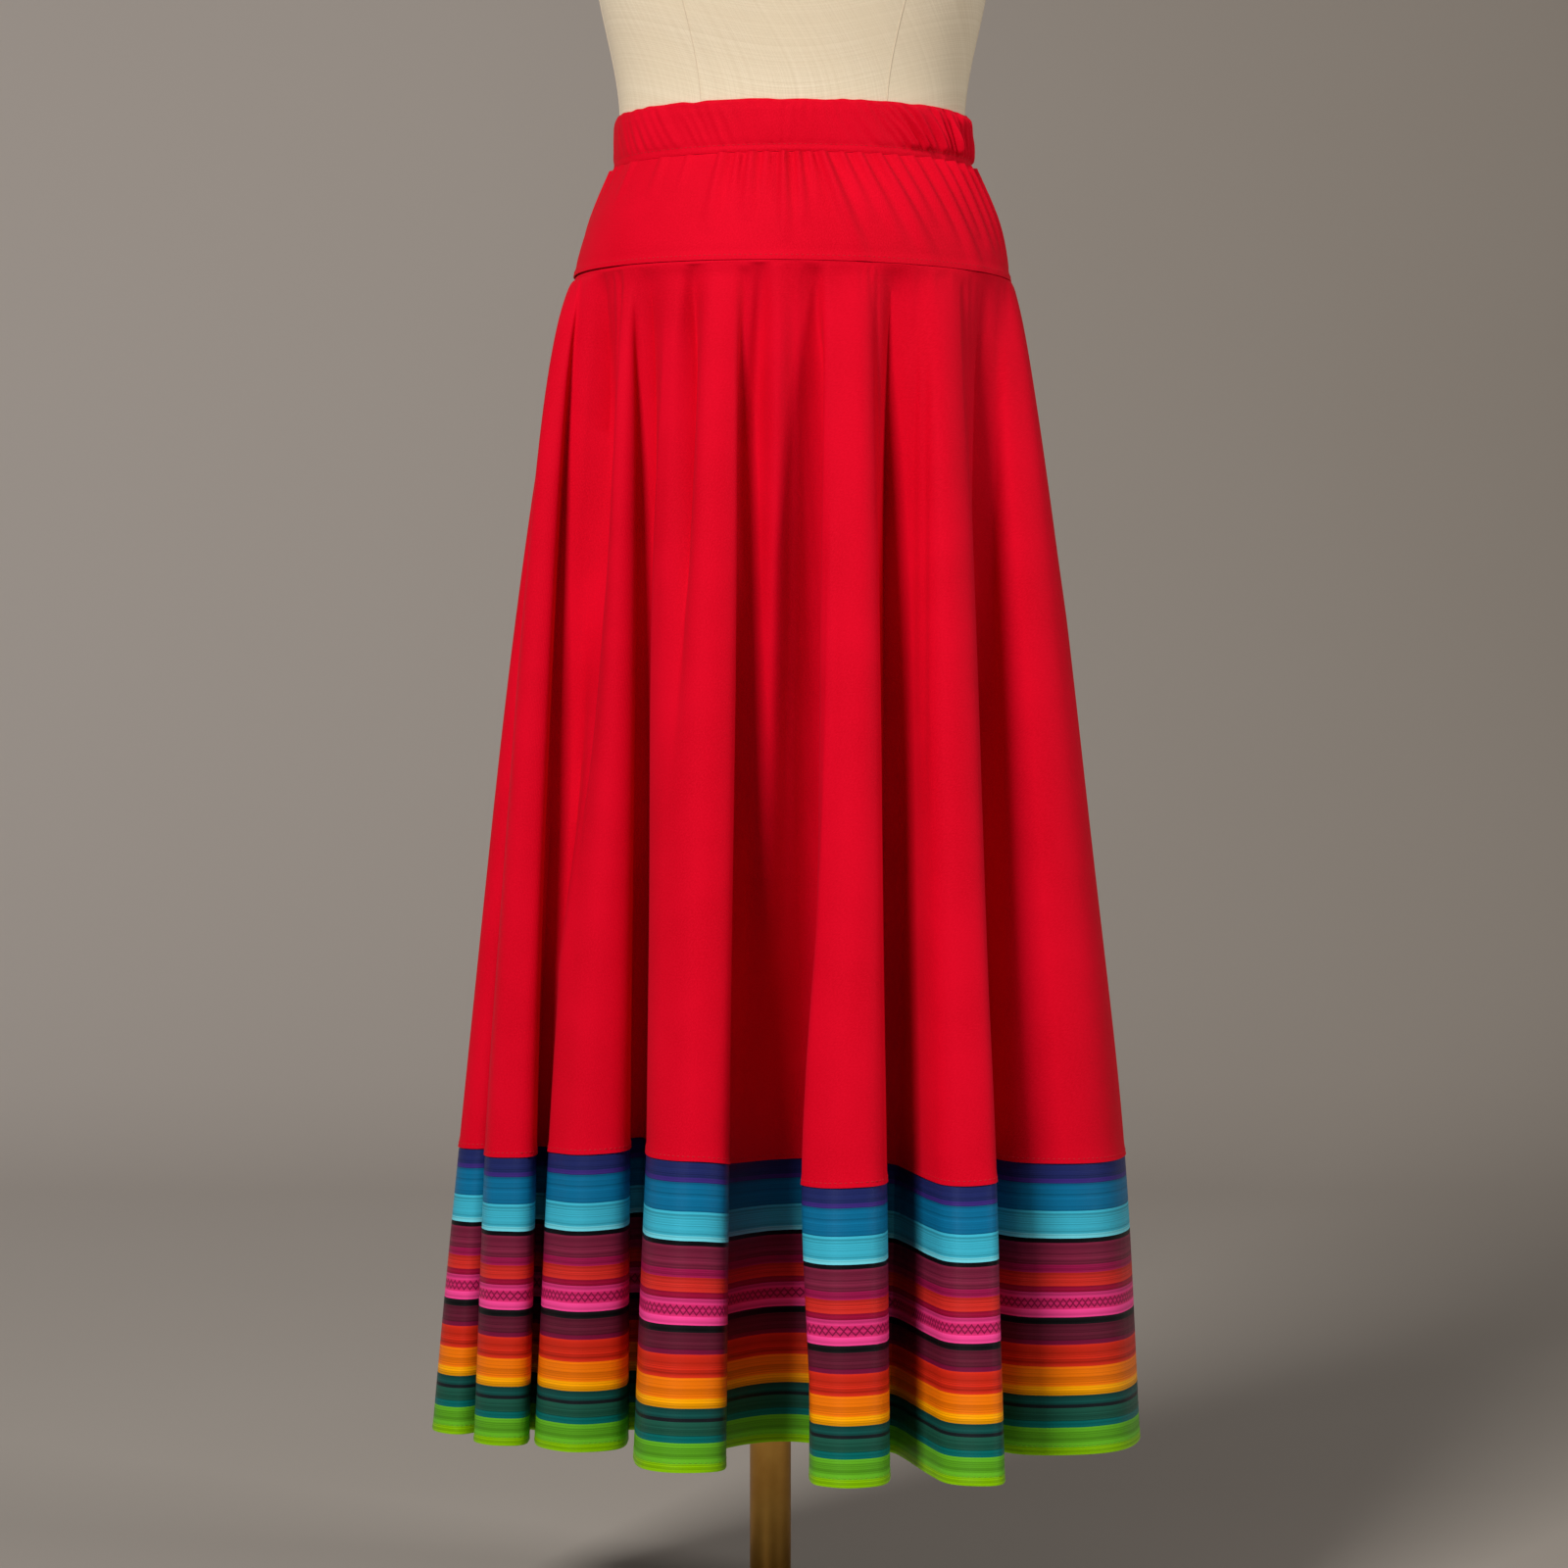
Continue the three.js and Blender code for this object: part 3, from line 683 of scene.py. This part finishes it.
def panel_middle(u, t):
    """A panel's middle and its level normals, which match the next panel's along their seam."""
    step = 0.002
    return flare_surface(u, t), level_normals(flare_surface(u + step, t) - flare_surface(u - step, t))


def near_edge(t_away, reach):
    """From 1 at an edge to 0 at the reach in mm, where t_away is how far away the edge is."""
    return ease(1 - t_away * FLARE_HEIGHT / reach)[..., None]


def flare_side(u, t, side):
    """One side of the red body, 1 outside and -1 inside; its lower edge laps over the striped band."""
    middle, out = panel_middle(u, t)
    edge = near_edge(BAND_T + RED_LAP_T - t, 7)
    return middle + out * (0.55 * edge + side * (KNIT / 2 + 0.12 * edge)), out


def band_side(u, t, side):
    """One side of the striped band; its top is tucked under the red edge and its hem is turned up."""
    middle, out = panel_middle(u, t)
    under, fold = near_edge(t - BAND_T + BAND_TUCK_T, 9), near_edge(1 - t, 7)
    round_off = np.clip((1 - t) * FLARE_HEIGHT / 0.8, 0.35, 1)[..., None]
    return middle + out * (side * (SATIN / 2 + 0.3 * fold) * round_off - 0.75 * under), out


def cloth(name, node, outer, inner, uv, material, closed=False):
    """A shell that stands for a node."""
    piece = shell(name, outer, inner, uv, material, closed)
    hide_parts(node)
    return piece


def flare(name, node, span, rows=84):
    columns = hem_spaced(span, SHELL_COLUMNS)
    rest = np.linspace(FLARE_REST / FLARE_HEIGHT, BAND_T + RED_LAP_T, rows)
    t = np.concatenate([FLARE_TOP_ROWS / FLARE_HEIGHT, rest])
    u, t = np.meshgrid(columns, t)
    (outer, _), (inner, _) = (flare_side(u, t, side) for side in (1, -1))
    return cloth(name, node, outer, inner, flat_uv(outer), RED)


def hem_band(name, node, span, rows=44):
    columns = hem_spaced(span, SHELL_COLUMNS)
    flat = np.linspace(BAND_T - BAND_TUCK_T, 1 - 8 / FLARE_HEIGHT, rows)
    u, t = np.meshgrid(columns, np.concatenate([flat, 1 - np.linspace(6, 0, 7) / FLARE_HEIGHT]))
    (outer, _), (inner, _) = (band_side(u, t, side) for side in (1, -1))
    down = (t - BAND_T) * FLARE_HEIGHT * 0.001
    uv = np.stack([lengths(outer, 1)[-1:].repeat(len(t), 0), down], -1)
    return cloth(name, node, outer, inner, uv, SERAPE)


# Gathers of the yoke: angle from the front in degrees, how far it leans on its way down,
# half width in degrees, how far down it reaches and how high it stands in mm.
YOKE_GATHERS = table(
    "at lean half reach height",
    (-88, -2, 3.0, 0.6, 1.4),
    (-76, -3, 3.6, 0.45, 1.0),
    (-60, -2, 3.2, 0.4, 1.1),
    (-44, -1, 3.0, 0.4, 1.0),
    (-34, -1, 2.2, 0.35, 0.9),
    (-22, -1, 2.6, 0.75, 2.4),
    (-17, 0, 1.7, 0.45, 1.5),
    (-12.5, 0, 2.3, 0.65, 2.6),
    (-8, 0, 1.8, 0.4, 1.6),
    (-2.8, 1, 1.9, 0.85, 3.0),
    (1.6, 2, 1.7, 0.7, 2.4),
    (5, 5, 1.6, 0.5, 1.5),
    (9, 9, 2.4, 1.1, 3.2),
    (15, 10, 2.2, 0.65, 2.0),
    (20.5, 11, 2.3, 0.85, 2.3),
    (27, 12, 2.7, 1.0, 2.9),
    (33, 12, 2.4, 0.65, 1.9),
    (39, 12, 2.6, 0.8, 2.3),
    (46, 11, 2.9, 1.05, 2.9),
    (53, 10, 2.4, 0.7, 2.1),
    (59, 9, 2.6, 0.85, 2.5),
    (66, 8, 2.4, 0.8, 2.3),
    (73, 6, 2.4, 0.9, 2.5),
    (81, 5, 2.6, 0.9, 2.6),
    (89, 4, 2.6, 0.75, 2.2),
    (98, 3, 2.8, 0.8, 2.4),
    (107, 2, 2.4, 0.55, 1.7),
    (116, 2, 3.0, 0.9, 2.6),
    (126, 1, 2.4, 0.6, 1.8),
    (134, 0, 2.8, 0.75, 2.3),
    (145, 0, 2.4, 0.5, 1.6),
    (153, -1, 3.0, 0.95, 2.7),
    (165, 0, 2.4, 0.6, 1.8),
    (174, 1, 2.8, 0.8, 2.4),
    (184, 0, 2.3, 0.5, 1.5),
    (193, -1, 3.0, 0.9, 2.6),
    (205, -1, 2.5, 0.6, 1.9),
    (214, -2, 2.8, 0.75, 2.3),
    (226, -3, 2.4, 0.5, 1.5),
    (236, -3, 3.0, 0.85, 2.2),
    (249, -3, 2.5, 0.5, 1.5),
    (260, -3, 2.8, 0.6, 1.7),
)


def yoke_surface(angle, t):
    """The hip yoke: angle in radians from the front, t from 0 at the waist to 1 at its lower edge."""
    turns = angle / (2 * np.pi)
    relief = 0.5 * soft_noise(turns * 96, t * 2, 6, 96) * np.maximum(0, 1 - t / 0.35)
    relief = relief + 0.8 * soft_noise(turns * 18, t * 2 + 5, 9, 18) * np.sin(np.pi * np.clip(t, 0, 1))
    for at, lean, half, reach, height in zip(*YOKE_GATHERS.values()):
        away = np.mod(np.degrees(angle) - at - lean * t + 180, 360) - 180
        fade = np.maximum(0, 1 - t / reach) ** 0.8
        relief = relief + 1.85 * height * hump(away / (half * (0.9 + 0.9 * t))) * fade
    # A low ridge and a furrow follow the stitches above the lower edge.
    above = (1 - t) * (YOKE_TOP_Z - YOKE_BOTTOM_Z)
    seam = 0.2 * np.exp(-(((above - 2.6) / 2.0) ** 2)) - 0.25 * np.exp(-(((above - 7) / 2.6) ** 2))
    reach_out = YOKE_FULLNESS * np.sin(np.pi * t) + relief + seam
    halves = (
        waist + YOKE_STAND_OFF + (hip + YOKE_SET_OUT - waist - YOKE_STAND_OFF) * t + reach_out
        for waist, hip in zip(WAIST_INSIDE, FLARE_TOP)
    )
    plan = on_ellipse(angle, *halves)
    z = YOKE_TOP_Z - SEAM_GAP + (YOKE_BOTTOM_Z - YOKE_TOP_Z + SEAM_GAP) * t
    z = z + edge_rise(angle) * t**3
    return np.concatenate([plan, z[..., None]], -1)


def yoke(name, node, start, columns=420, rows=54):
    angle, t = np.meshgrid(np.linspace(start, start + np.pi, columns + 1), np.linspace(0, 1, rows + 1))
    middle = yoke_surface(angle, t)
    out = outward(middle)
    outer, inner = middle + out * KNIT / 2, middle - out * KNIT / 2
    return cloth(name, node, outer, inner, flat_uv(middle), RED)


# The waistband's gathers: how far they lean and how strong they are at angles in degrees from the front.
WAIST_GATHERS = 90
SLANT_ANGLES = (-180, -100, -40, 0, 32, 62, 110, 180)
SLANTS = (0.06, 0.1, 0.22, -0.03, 0.3, 0.12, 0.1, 0.06)
STRENGTH_ANGLES = (-180, -100, -72, -45, -22, 0, 22, 34, 42, 50, 70, 90, 180)
STRENGTHS = (0.9, 0.7, 0.3, 0.5, 0.45, 0.3, 0.35, 0.9, 2.2, 3.3, 3.2, 1.5, 0.9)
# Its section: how far it stands out, in mm, at heights from 0 at its top to 1 at the yoke.
GROOVE_T = 0.87
PROFILE_T = (0, 0.05, 0.2, 0.5, 0.74, GROOVE_T, 0.95, 1)
PROFILE = (1.6, 2.4, 3.3, 3.8, 3.9, 3.6, 3.9, 3.8)


def waistband(columns=1080, rows=36):
    """The gathered casing and its outer side: a bulge over the elastic, a stitched groove and a ridge."""
    angle, t = np.meshgrid(np.linspace(-np.pi, np.pi, columns + 1), np.linspace(0, 1, rows + 1))
    degrees = np.degrees(angle)
    phase = angle - np.interp(degrees, SLANT_ANGLES, SLANTS) * (t - 0.5)
    turns = phase / (2 * np.pi) + 0.5
    warp = 1.4 * np.sin(2 * phase) + 0.9 * np.sin(5 * phase + 1)
    warp = warp + 1.2 * np.sin(11 * phase) + 0.9 * np.sin(17 * phase + 2)
    wave = 0.5 + 0.5 * np.cos(WAIST_GATHERS * phase + warp)
    second = soft_noise(turns * 150, t * 1.6, 11, 150)
    uneven = 0.55 + 0.45 * soft_noise(turns * 34, t * 1.3, 12, 34)
    pinch = ease(t / 0.12) * ease((0.9 - t) / 0.12)
    strength = np.interp(degrees, STRENGTH_ANGLES, STRENGTHS)
    relief = strength * (1.5 * wave * uneven + 1.1 * second) * (0.1 + 0.9 * pinch)
    profile = np.interp(t, PROFILE_T, PROFILE)
    ridge = 0.5 * np.exp(-((degrees / 38) ** 2)) * np.exp(-(((t - 0.95) / 0.05) ** 2))
    out = profile + ridge + relief
    z = WAIST_TOP_Z + (YOKE_TOP_Z - WAIST_TOP_Z) * t
    z += 0.6 * soft_noise(turns * WAIST_GATHERS, t * 0, 13, WAIST_GATHERS) * (1 - t) ** 4
    half_width, half_depth = WAIST_INSIDE
    outer = np.concatenate([on_ellipse(angle, half_width + out, half_depth + out), z[..., None]], -1)
    inner = np.concatenate([on_ellipse(angle, half_width, half_depth), z[..., None]], -1)
    uv = flat_uv(outer)
    return cloth("waistband_gathered", "waistband", outer, inner, uv, RED, closed=True), outer


# ---- dress form and stand ----
def monotone(x, y, at):
    """A smooth curve through the points that never overshoots them."""
    step, slope = np.diff(x), np.diff(y) / np.diff(x)
    same = slope[:-1] * slope[1:] > 0
    inner = np.where(same, 2 * slope[:-1] * slope[1:] / np.where(same, slope[:-1] + slope[1:], 1), 0)
    tangent = np.concatenate([[slope[0]], inner, [slope[-1]]])
    i = np.clip(np.searchsorted(x, at) - 1, 0, len(x) - 2)
    w = (at - x[i]) / step[i]
    return (
        (2 * w**3 - 3 * w**2 + 1) * y[i]
        + (w**3 - 2 * w**2 + w) * step[i] * tangent[i]
        + (3 * w**2 - 2 * w**3) * y[i + 1]
        + (w**3 - w**2) * step[i] * tangent[i + 1]
    )


FORM_BOTTOM, FORM_TOP = FORM["z"][0], FORM["z"][-1]


def form_point(angle, z):
    section = (monotone(FORM["z"], FORM[key], z) for key in ("half_width", "half_depth", "back"))
    half_width, half_depth, back = section
    plan = on_ellipse(angle, half_width, half_depth)
    return np.stack([plan[..., 0], plan[..., 1] + back, z], -1)


def form_torso(columns=160, rows=180):
    """The skin of the form, with a cap at the neck and one at the bottom."""
    heights = np.linspace(FORM_TOP, FORM_BOTTOM, rows + 1)
    skin = form_point(*np.meshgrid(np.linspace(-np.pi, np.pi, columns + 1), heights))
    index = np.arange(skin.shape[0] * skin.shape[1]).reshape(skin.shape[:2])
    middles = [[0, FORM["back"][-1], FORM_TOP], [0, FORM["back"][0], FORM_BOTTOM]]
    points = np.concatenate([skin.reshape(-1, 3), middles])
    uv = np.concatenate([flat_uv(skin).reshape(-1, 2), [[0, 0], [0, 0]]])
    faces = quads(index[:-1, :-1], index[1:, :-1], index[1:, 1:], index[:-1, 1:]).tolist()
    neck, low = index[0].tolist(), index[-1].tolist()
    faces += [[index.size, a, b] for a, b in zip(neck, neck[1:])]
    faces += [[index.size + 1, b, a] for a, b in zip(low, low[1:])]
    piece = mesh_of("form_linen_torso", points, faces, uv, LINEN, closed=True)
    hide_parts("form_torso")
    return piece


def tube(path, radius, sides=6):
    """Points and faces of a closed thin tube along a path."""
    path = np.asarray(path, float)
    along = np.gradient(path, axis=0)
    along /= np.linalg.norm(along, axis=1, keepdims=True)
    side = np.cross(along, (0.31, 0.17, 0.93))
    side /= np.linalg.norm(side, axis=1, keepdims=True)
    up = np.cross(along, side)
    turn = np.linspace(0, 2 * np.pi, sides, endpoint=False)[:, None]
    rings = path[:, None] + radius * (side[:, None] * np.cos(turn) + up[:, None] * np.sin(turn))
    ends = [list(range(sides))[::-1], [(len(path) - 1) * sides + j for j in range(sides)]]
    return rings.reshape(-1, 3), ring_faces(len(path), sides) + ends


def joined(name, parts, material):
    """One mesh of several point and face lists."""
    points, faces, start = [], [], 0
    for part_points, part_faces in parts:
        points.append(part_points)
        faces += [[start + i for i in face] for face in part_faces]
        start += len(part_points)
    return mesh_of(name, np.concatenate(points), faces, None, material)


# Seams of the form: their angle in degrees below the waist and at the chest. Front princess seams, sides,
# centre back and back princess seams.
FORM_SEAMS = ((-31, -46), (32, 46), (-90, -90), (90, 90), (180, 180), (146, 138), (-146, -138))
FORM_WAIST_Z, WAIST_TO_CHEST = 1034, 260


def form_seams():
    """Raised seams of the linen cover."""
    seams = []
    heights = np.linspace(FORM_BOTTOM + 4, FORM_TOP - 2, 150)
    for low, high in FORM_SEAMS:
        angle = np.radians(low + (high - low) * ease((heights - FORM_WAIST_Z) / WAIST_TO_CHEST))
        seams.append(tube(form_point(angle, heights), 0.35))
    piece = joined("form_seams", seams, LINEN_SEAM)
    return piece


def turned(name, node, profile, centre, material, segments=96):
    """A solid of revolution about Z from radius and height pairs in mm that start and end on the axis."""
    profile = np.array(profile, float)
    turn = np.linspace(0, 2 * np.pi, segments, endpoint=False)
    radius, z = profile[1:-1, :1], profile[1:-1, 1:]
    rings = np.stack([radius * np.cos(turn), radius * np.sin(turn), z + 0 * turn], -1).reshape(-1, 3)
    points = np.concatenate([rings, [[0, 0, profile[0, 1]], [0, 0, profile[-1, 1]]]])
    points = points + np.array(centre) - (FORM_X, 0, 0)
    faces = ring_faces(len(radius), segments)
    first, last, end = len(rings), len(rings) + 1, len(rings) - segments
    faces += [[first, (j + 1) % segments, j] for j in range(segments)]
    faces += [[last, end + j, end + (j + 1) % segments] for j in range(segments)]
    piece = mesh_of(name, points, faces, None, material)
    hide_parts(node)
    return piece


def arc(centre, radius, start, end, steps=6):
    """Profile points on an arc, angles in degrees from outwards to up."""
    turn = np.radians(np.linspace(start, end, steps))
    return [(centre[0] + radius * math.cos(a), centre[1] + radius * math.sin(a)) for a in turn]


FOOT, FOOT_RIM = 160.0, 8.0  # radius of the base plate and height of its rim
POLE = 14.0
POLE_BOTTOM = 20
CAP = 50  # radius of the neck cap


def stand():
    """Base plate with its socket, pole and neck cap."""
    base = [(0, 0), (FOOT - 2, 0)] + arc((FOOT - 2, 2), 2, -90, 0) + arc((FOOT - 5, FOOT_RIM - 1), 5, 0, 80)
    rise = ((FOOT - 30, 7), (80, 9.2), (48, 10), (38, 11.5), (31, 15), (27.5, 21))
    base += [(radius, FOOT_RIM + height) for radius, height in rise]
    base += [(25, 34), (24, 42)] + arc((21, 45), 3, 0, 90)
    base += [(14.4, 48), (14.4, POLE_BOTTOM), (0, POLE_BOTTOM)]
    turned("base_plate_cast", "stand_base", base, (0, 0, 0), IRON)

    low, top = POLE_BOTTOM + SEAM_GAP, FORM_BOTTOM - SEAM_GAP
    pole = [(0, low), (13.4, low), (POLE, 21), (POLE, top - 0.6), (13.4, top), (0, top)]
    turned("pole_tube", "stand_pole", pole, (0, 0, 0), BRASS)

    neck = FORM_TOP + SEAM_GAP
    cap = [(0, 0), (CAP - 1, 0)] + arc((CAP - 1, 1), 1, -90, 0) + [(CAP, 3.2)] + arc((CAP - 5, 3.4), 5, 0, 70)
    cap += [(30, 9.5), (14, 9.95), (0, 10)]
    cap = [(radius, neck + height) for radius, height in cap]
    turned("neck_cap", "form_neck_cap", cap, (FORM_X, FORM["back"][-1], 0), BRASS)


# ---- stitches ----
# A stitch is a bar of two square sections, at points 1 to 4 and 5 to 8, with a point at each end.
BAR_CORNERS = ((1, 0), (0, 1), (-1, 0), (0, -1))
BAR_FACES = [[0, 1 + (j + 1) % 4, 1 + j] for j in range(4)]
BAR_FACES += [[1 + j, 1 + (j + 1) % 4, 5 + (j + 1) % 4, 5 + j] for j in range(4)]
BAR_FACES += [[9, 5 + j, 5 + (j + 1) % 4] for j in range(4)]


def stitches(name, path, out, material, pitch=3.4, length=2.4, radius=0.24):
    """Small thread bars along a path of points, sunk a little into the cloth at both ends."""
    run = lengths(path[None], 1)[0] * 1000
    starts = (np.arange(int(run[-1] / pitch)) + 0.5) * pitch
    offsets = np.array([0, 0.25, 0.75, 1])
    parts = []
    for start in starts:
        at = start + (offsets - 0.5) * length
        centre = np.stack([np.interp(at, run, path[:, k]) for k in range(3)], 1)
        normal = np.array([np.interp(start, run, out[:, k]) for k in range(3)])
        along = (centre[-1] - centre[0]) / np.linalg.norm(centre[-1] - centre[0])
        side = np.cross(along, normal)
        points = [centre[0] - normal * radius]
        for middle in centre[1:3]:
            points += [middle + radius * (side * across + normal * up) for across, up in BAR_CORNERS]
        points.append(centre[3] - normal * radius)
        parts.append((np.array(points), BAR_FACES))
    piece = joined(name, parts, material)
    return piece


def stitched_row(name, side, span, t, material):
    """A row of stitches along the flared surface at one height."""
    u = hem_spaced(span, STITCH_PATH)
    points, out = side(u[None], np.full((1, len(u)), t), 1)
    return stitches(name, points[0], out[0], material)


def yoke_row(name, start, t):
    angle, height = np.meshgrid(np.linspace(start, start + np.pi, STITCH_PATH), [t - 0.01, t, t + 0.01])
    middle = yoke_surface(angle, height)
    out = outward(middle)
    return stitches(name, (middle + out * KNIT / 2)[1], out[1], RED_THREAD)


def thread(name, colour):
    """Sewing thread with a faint twist."""
    nodes = Nodes(name)
    place = nodes.place()
    twist = nodes.noise(place, 2500.0)
    base = nodes.mix(twist, paint(*colour, 0.75), paint(*colour))
    return nodes.finish(Base_Color=base, Roughness=0.6, Normal=nodes.bump(twist, 0.3, 0.0002))


LINEN_SEAM = thread("linen_seam", (222, 204, 176))
RED_THREAD = thread("red_thread", (206, 8, 30))
LIME_THREAD = thread("lime_thread", (120, 176, 10))

torso = form_torso()
form_seams()
stand()

band, band_outer = waistband()
groove = round(GROOVE_T * (len(band_outer) - 1))
band_normal = outward(band_outer)
band_row = stitches("waistband_stitches", band_outer[groove], band_normal[groove], RED_THREAD)

# Heights of the rows of stitches, a few mm above the edge that each of them holds.
HEM_STITCH_T = 1 - 6 / FLARE_HEIGHT
RED_STITCH_T = BAND_T + RED_LAP_T - 3 / FLARE_HEIGHT
YOKE_STITCH_T = 1 - 3.4 / (YOKE_TOP_Z - YOKE_BOTTOM_Z)
HALVES = (
    # side, span of the flare, start of the yoke, the flare's cut: width, length and area, the band's cut
    ("front", FRONT, -np.pi / 2, (1.22, 0.67), 0.52, (1.47, 0.2)),
    ("back", BACK, np.pi / 2, (1.12, 0.66), 0.48, (1.45, 0.2)),
)
for side, span, yoke_start, flare_cut, flare_area, band_cut in HALVES:
    yoke_piece = yoke(f"yoke_{side}_cloth", f"yoke_{side}", yoke_start)
    row = yoke_row(f"yoke_{side}_stitches", yoke_start, YOKE_STITCH_T)

    flare_piece = flare(f"flare_{side}_cloth", f"flare_{side}", span)
    row = stitched_row(f"flare_{side}_stitches", flare_side, span, RED_STITCH_T, RED_THREAD)

    hem_piece = hem_band(f"hem_band_{side}_cloth", f"hem_band_{side}", span)
    row = stitched_row(f"hem_{side}_stitches", band_side, span, HEM_STITCH_T, LIME_THREAD)


# ---- floor, lights and camera ----
def paper(name, floor, wall):
    """Backdrop paper, faintly cloudy, paler on the far wall than near the skirt, with painted shade that
    darkens it to the right.
    """
    nodes = Nodes(name)
    place = nodes.place()
    across, away = nodes.add("ShaderNodeSeparateXYZ", {0: place}).outputs[:2]
    base = nodes.mix(nodes.ramp(away, 0.6, 3.2), paint(*floor), paint(*wall))
    # Painted shade: the paper is darkened towards the right, standing in for the key light falling off away
    # from the left.
    base = nodes.mix(nodes.ramp(across, -1.6, 1.6), base, (0.66, 0.64, 0.6, 1), "MULTIPLY")
    cloud = nodes.noise(place, 1.2)
    base = nodes.mix(nodes.math("MULTIPLY", cloud, 0.05), base, (1, 1, 1, 1))
    return nodes.finish(Base_Color=base, Roughness=0.9)


def backdrop():
    """A pale floor that sweeps up into a wall."""
    front, wall, height, bend, half = -5.0, 4.4, 5.0, 1.8, 6.0
    line = [(front, 0.0), (0.0, 0.0), (wall - bend, 0.0)]
    for turn in np.linspace(0.1, math.pi / 2, 14):
        line.append((wall - bend + bend * math.sin(turn), bend - bend * math.cos(turn)))
    line.append((wall, height))
    points = [(x, y, z) for y, z in line for x in (-half, half)]
    faces = [(2 * i, 2 * i + 1, 2 * i + 3, 2 * i + 2) for i in range(len(line) - 1)]
    mesh = bpy.data.meshes.new("backdrop")
    mesh.from_pydata(points, [], faces)
    mesh.polygons.foreach_set("use_smooth", [True] * len(mesh.polygons))
    mesh.materials.append(paper("backdrop", (180, 172, 163), (224, 214, 205)))
    sweep = placed("backdrop", mesh)


LIT_MIDDLE = (0.0, 0.0, 0.65)  # the lights aim at the middle of the skirt
WARM_WHITE = (1.0, 0.98, 0.96)


def area_light(name, place, size, power):
    data = bpy.data.lights.new(name, "AREA")
    data.shape = "RECTANGLE"
    data.size, data.size_y = size
    data.energy = power
    data.color = WARM_WHITE
    lamp = placed(name, data)
    lamp.location = place
    aim = np.array(LIT_MIDDLE) - np.array(place)
    lamp.rotation_euler = Vector(aim).to_track_quat("-Z", "Y").to_euler()


def lights():
    """Two soft lights in front and a weak even light from all sides."""
    area_light("key", (-1.5, -2.8, 2.9), (0.9, 1.1), 148)
    area_light("right", (2.9, -1.4, 2.2), (1.0, 1.4), 50)
    world = bpy.data.worlds.new("studio")
    bpy.context.scene.world = world
    world.use_nodes = True
    background = world.node_tree.nodes["Background"]
    background.inputs["Color"].default_value = (0.93, 0.95, 1.0, 1.0)
    background.inputs["Strength"].default_value = 0.07


SENSOR, LENS = 36.0, 84.3  # mm
EYE = (0.0093, -2.5, 0.634)
EYE_TIP = 0.76  # degrees


def camera():
    """2.5 m in front of the skirt, at the height of its middle, and tipped down by a little."""
    data = bpy.data.cameras.new("camera")
    data.sensor_width, data.lens = SENSOR, LENS
    eye = placed("camera", data)
    eye.location = EYE
    eye.rotation_euler = (math.radians(90 - EYE_TIP), 0, 0)
    bpy.context.scene.camera = eye


backdrop()
lights()
camera()
bpy.context.scene.view_settings.view_transform = "Standard"
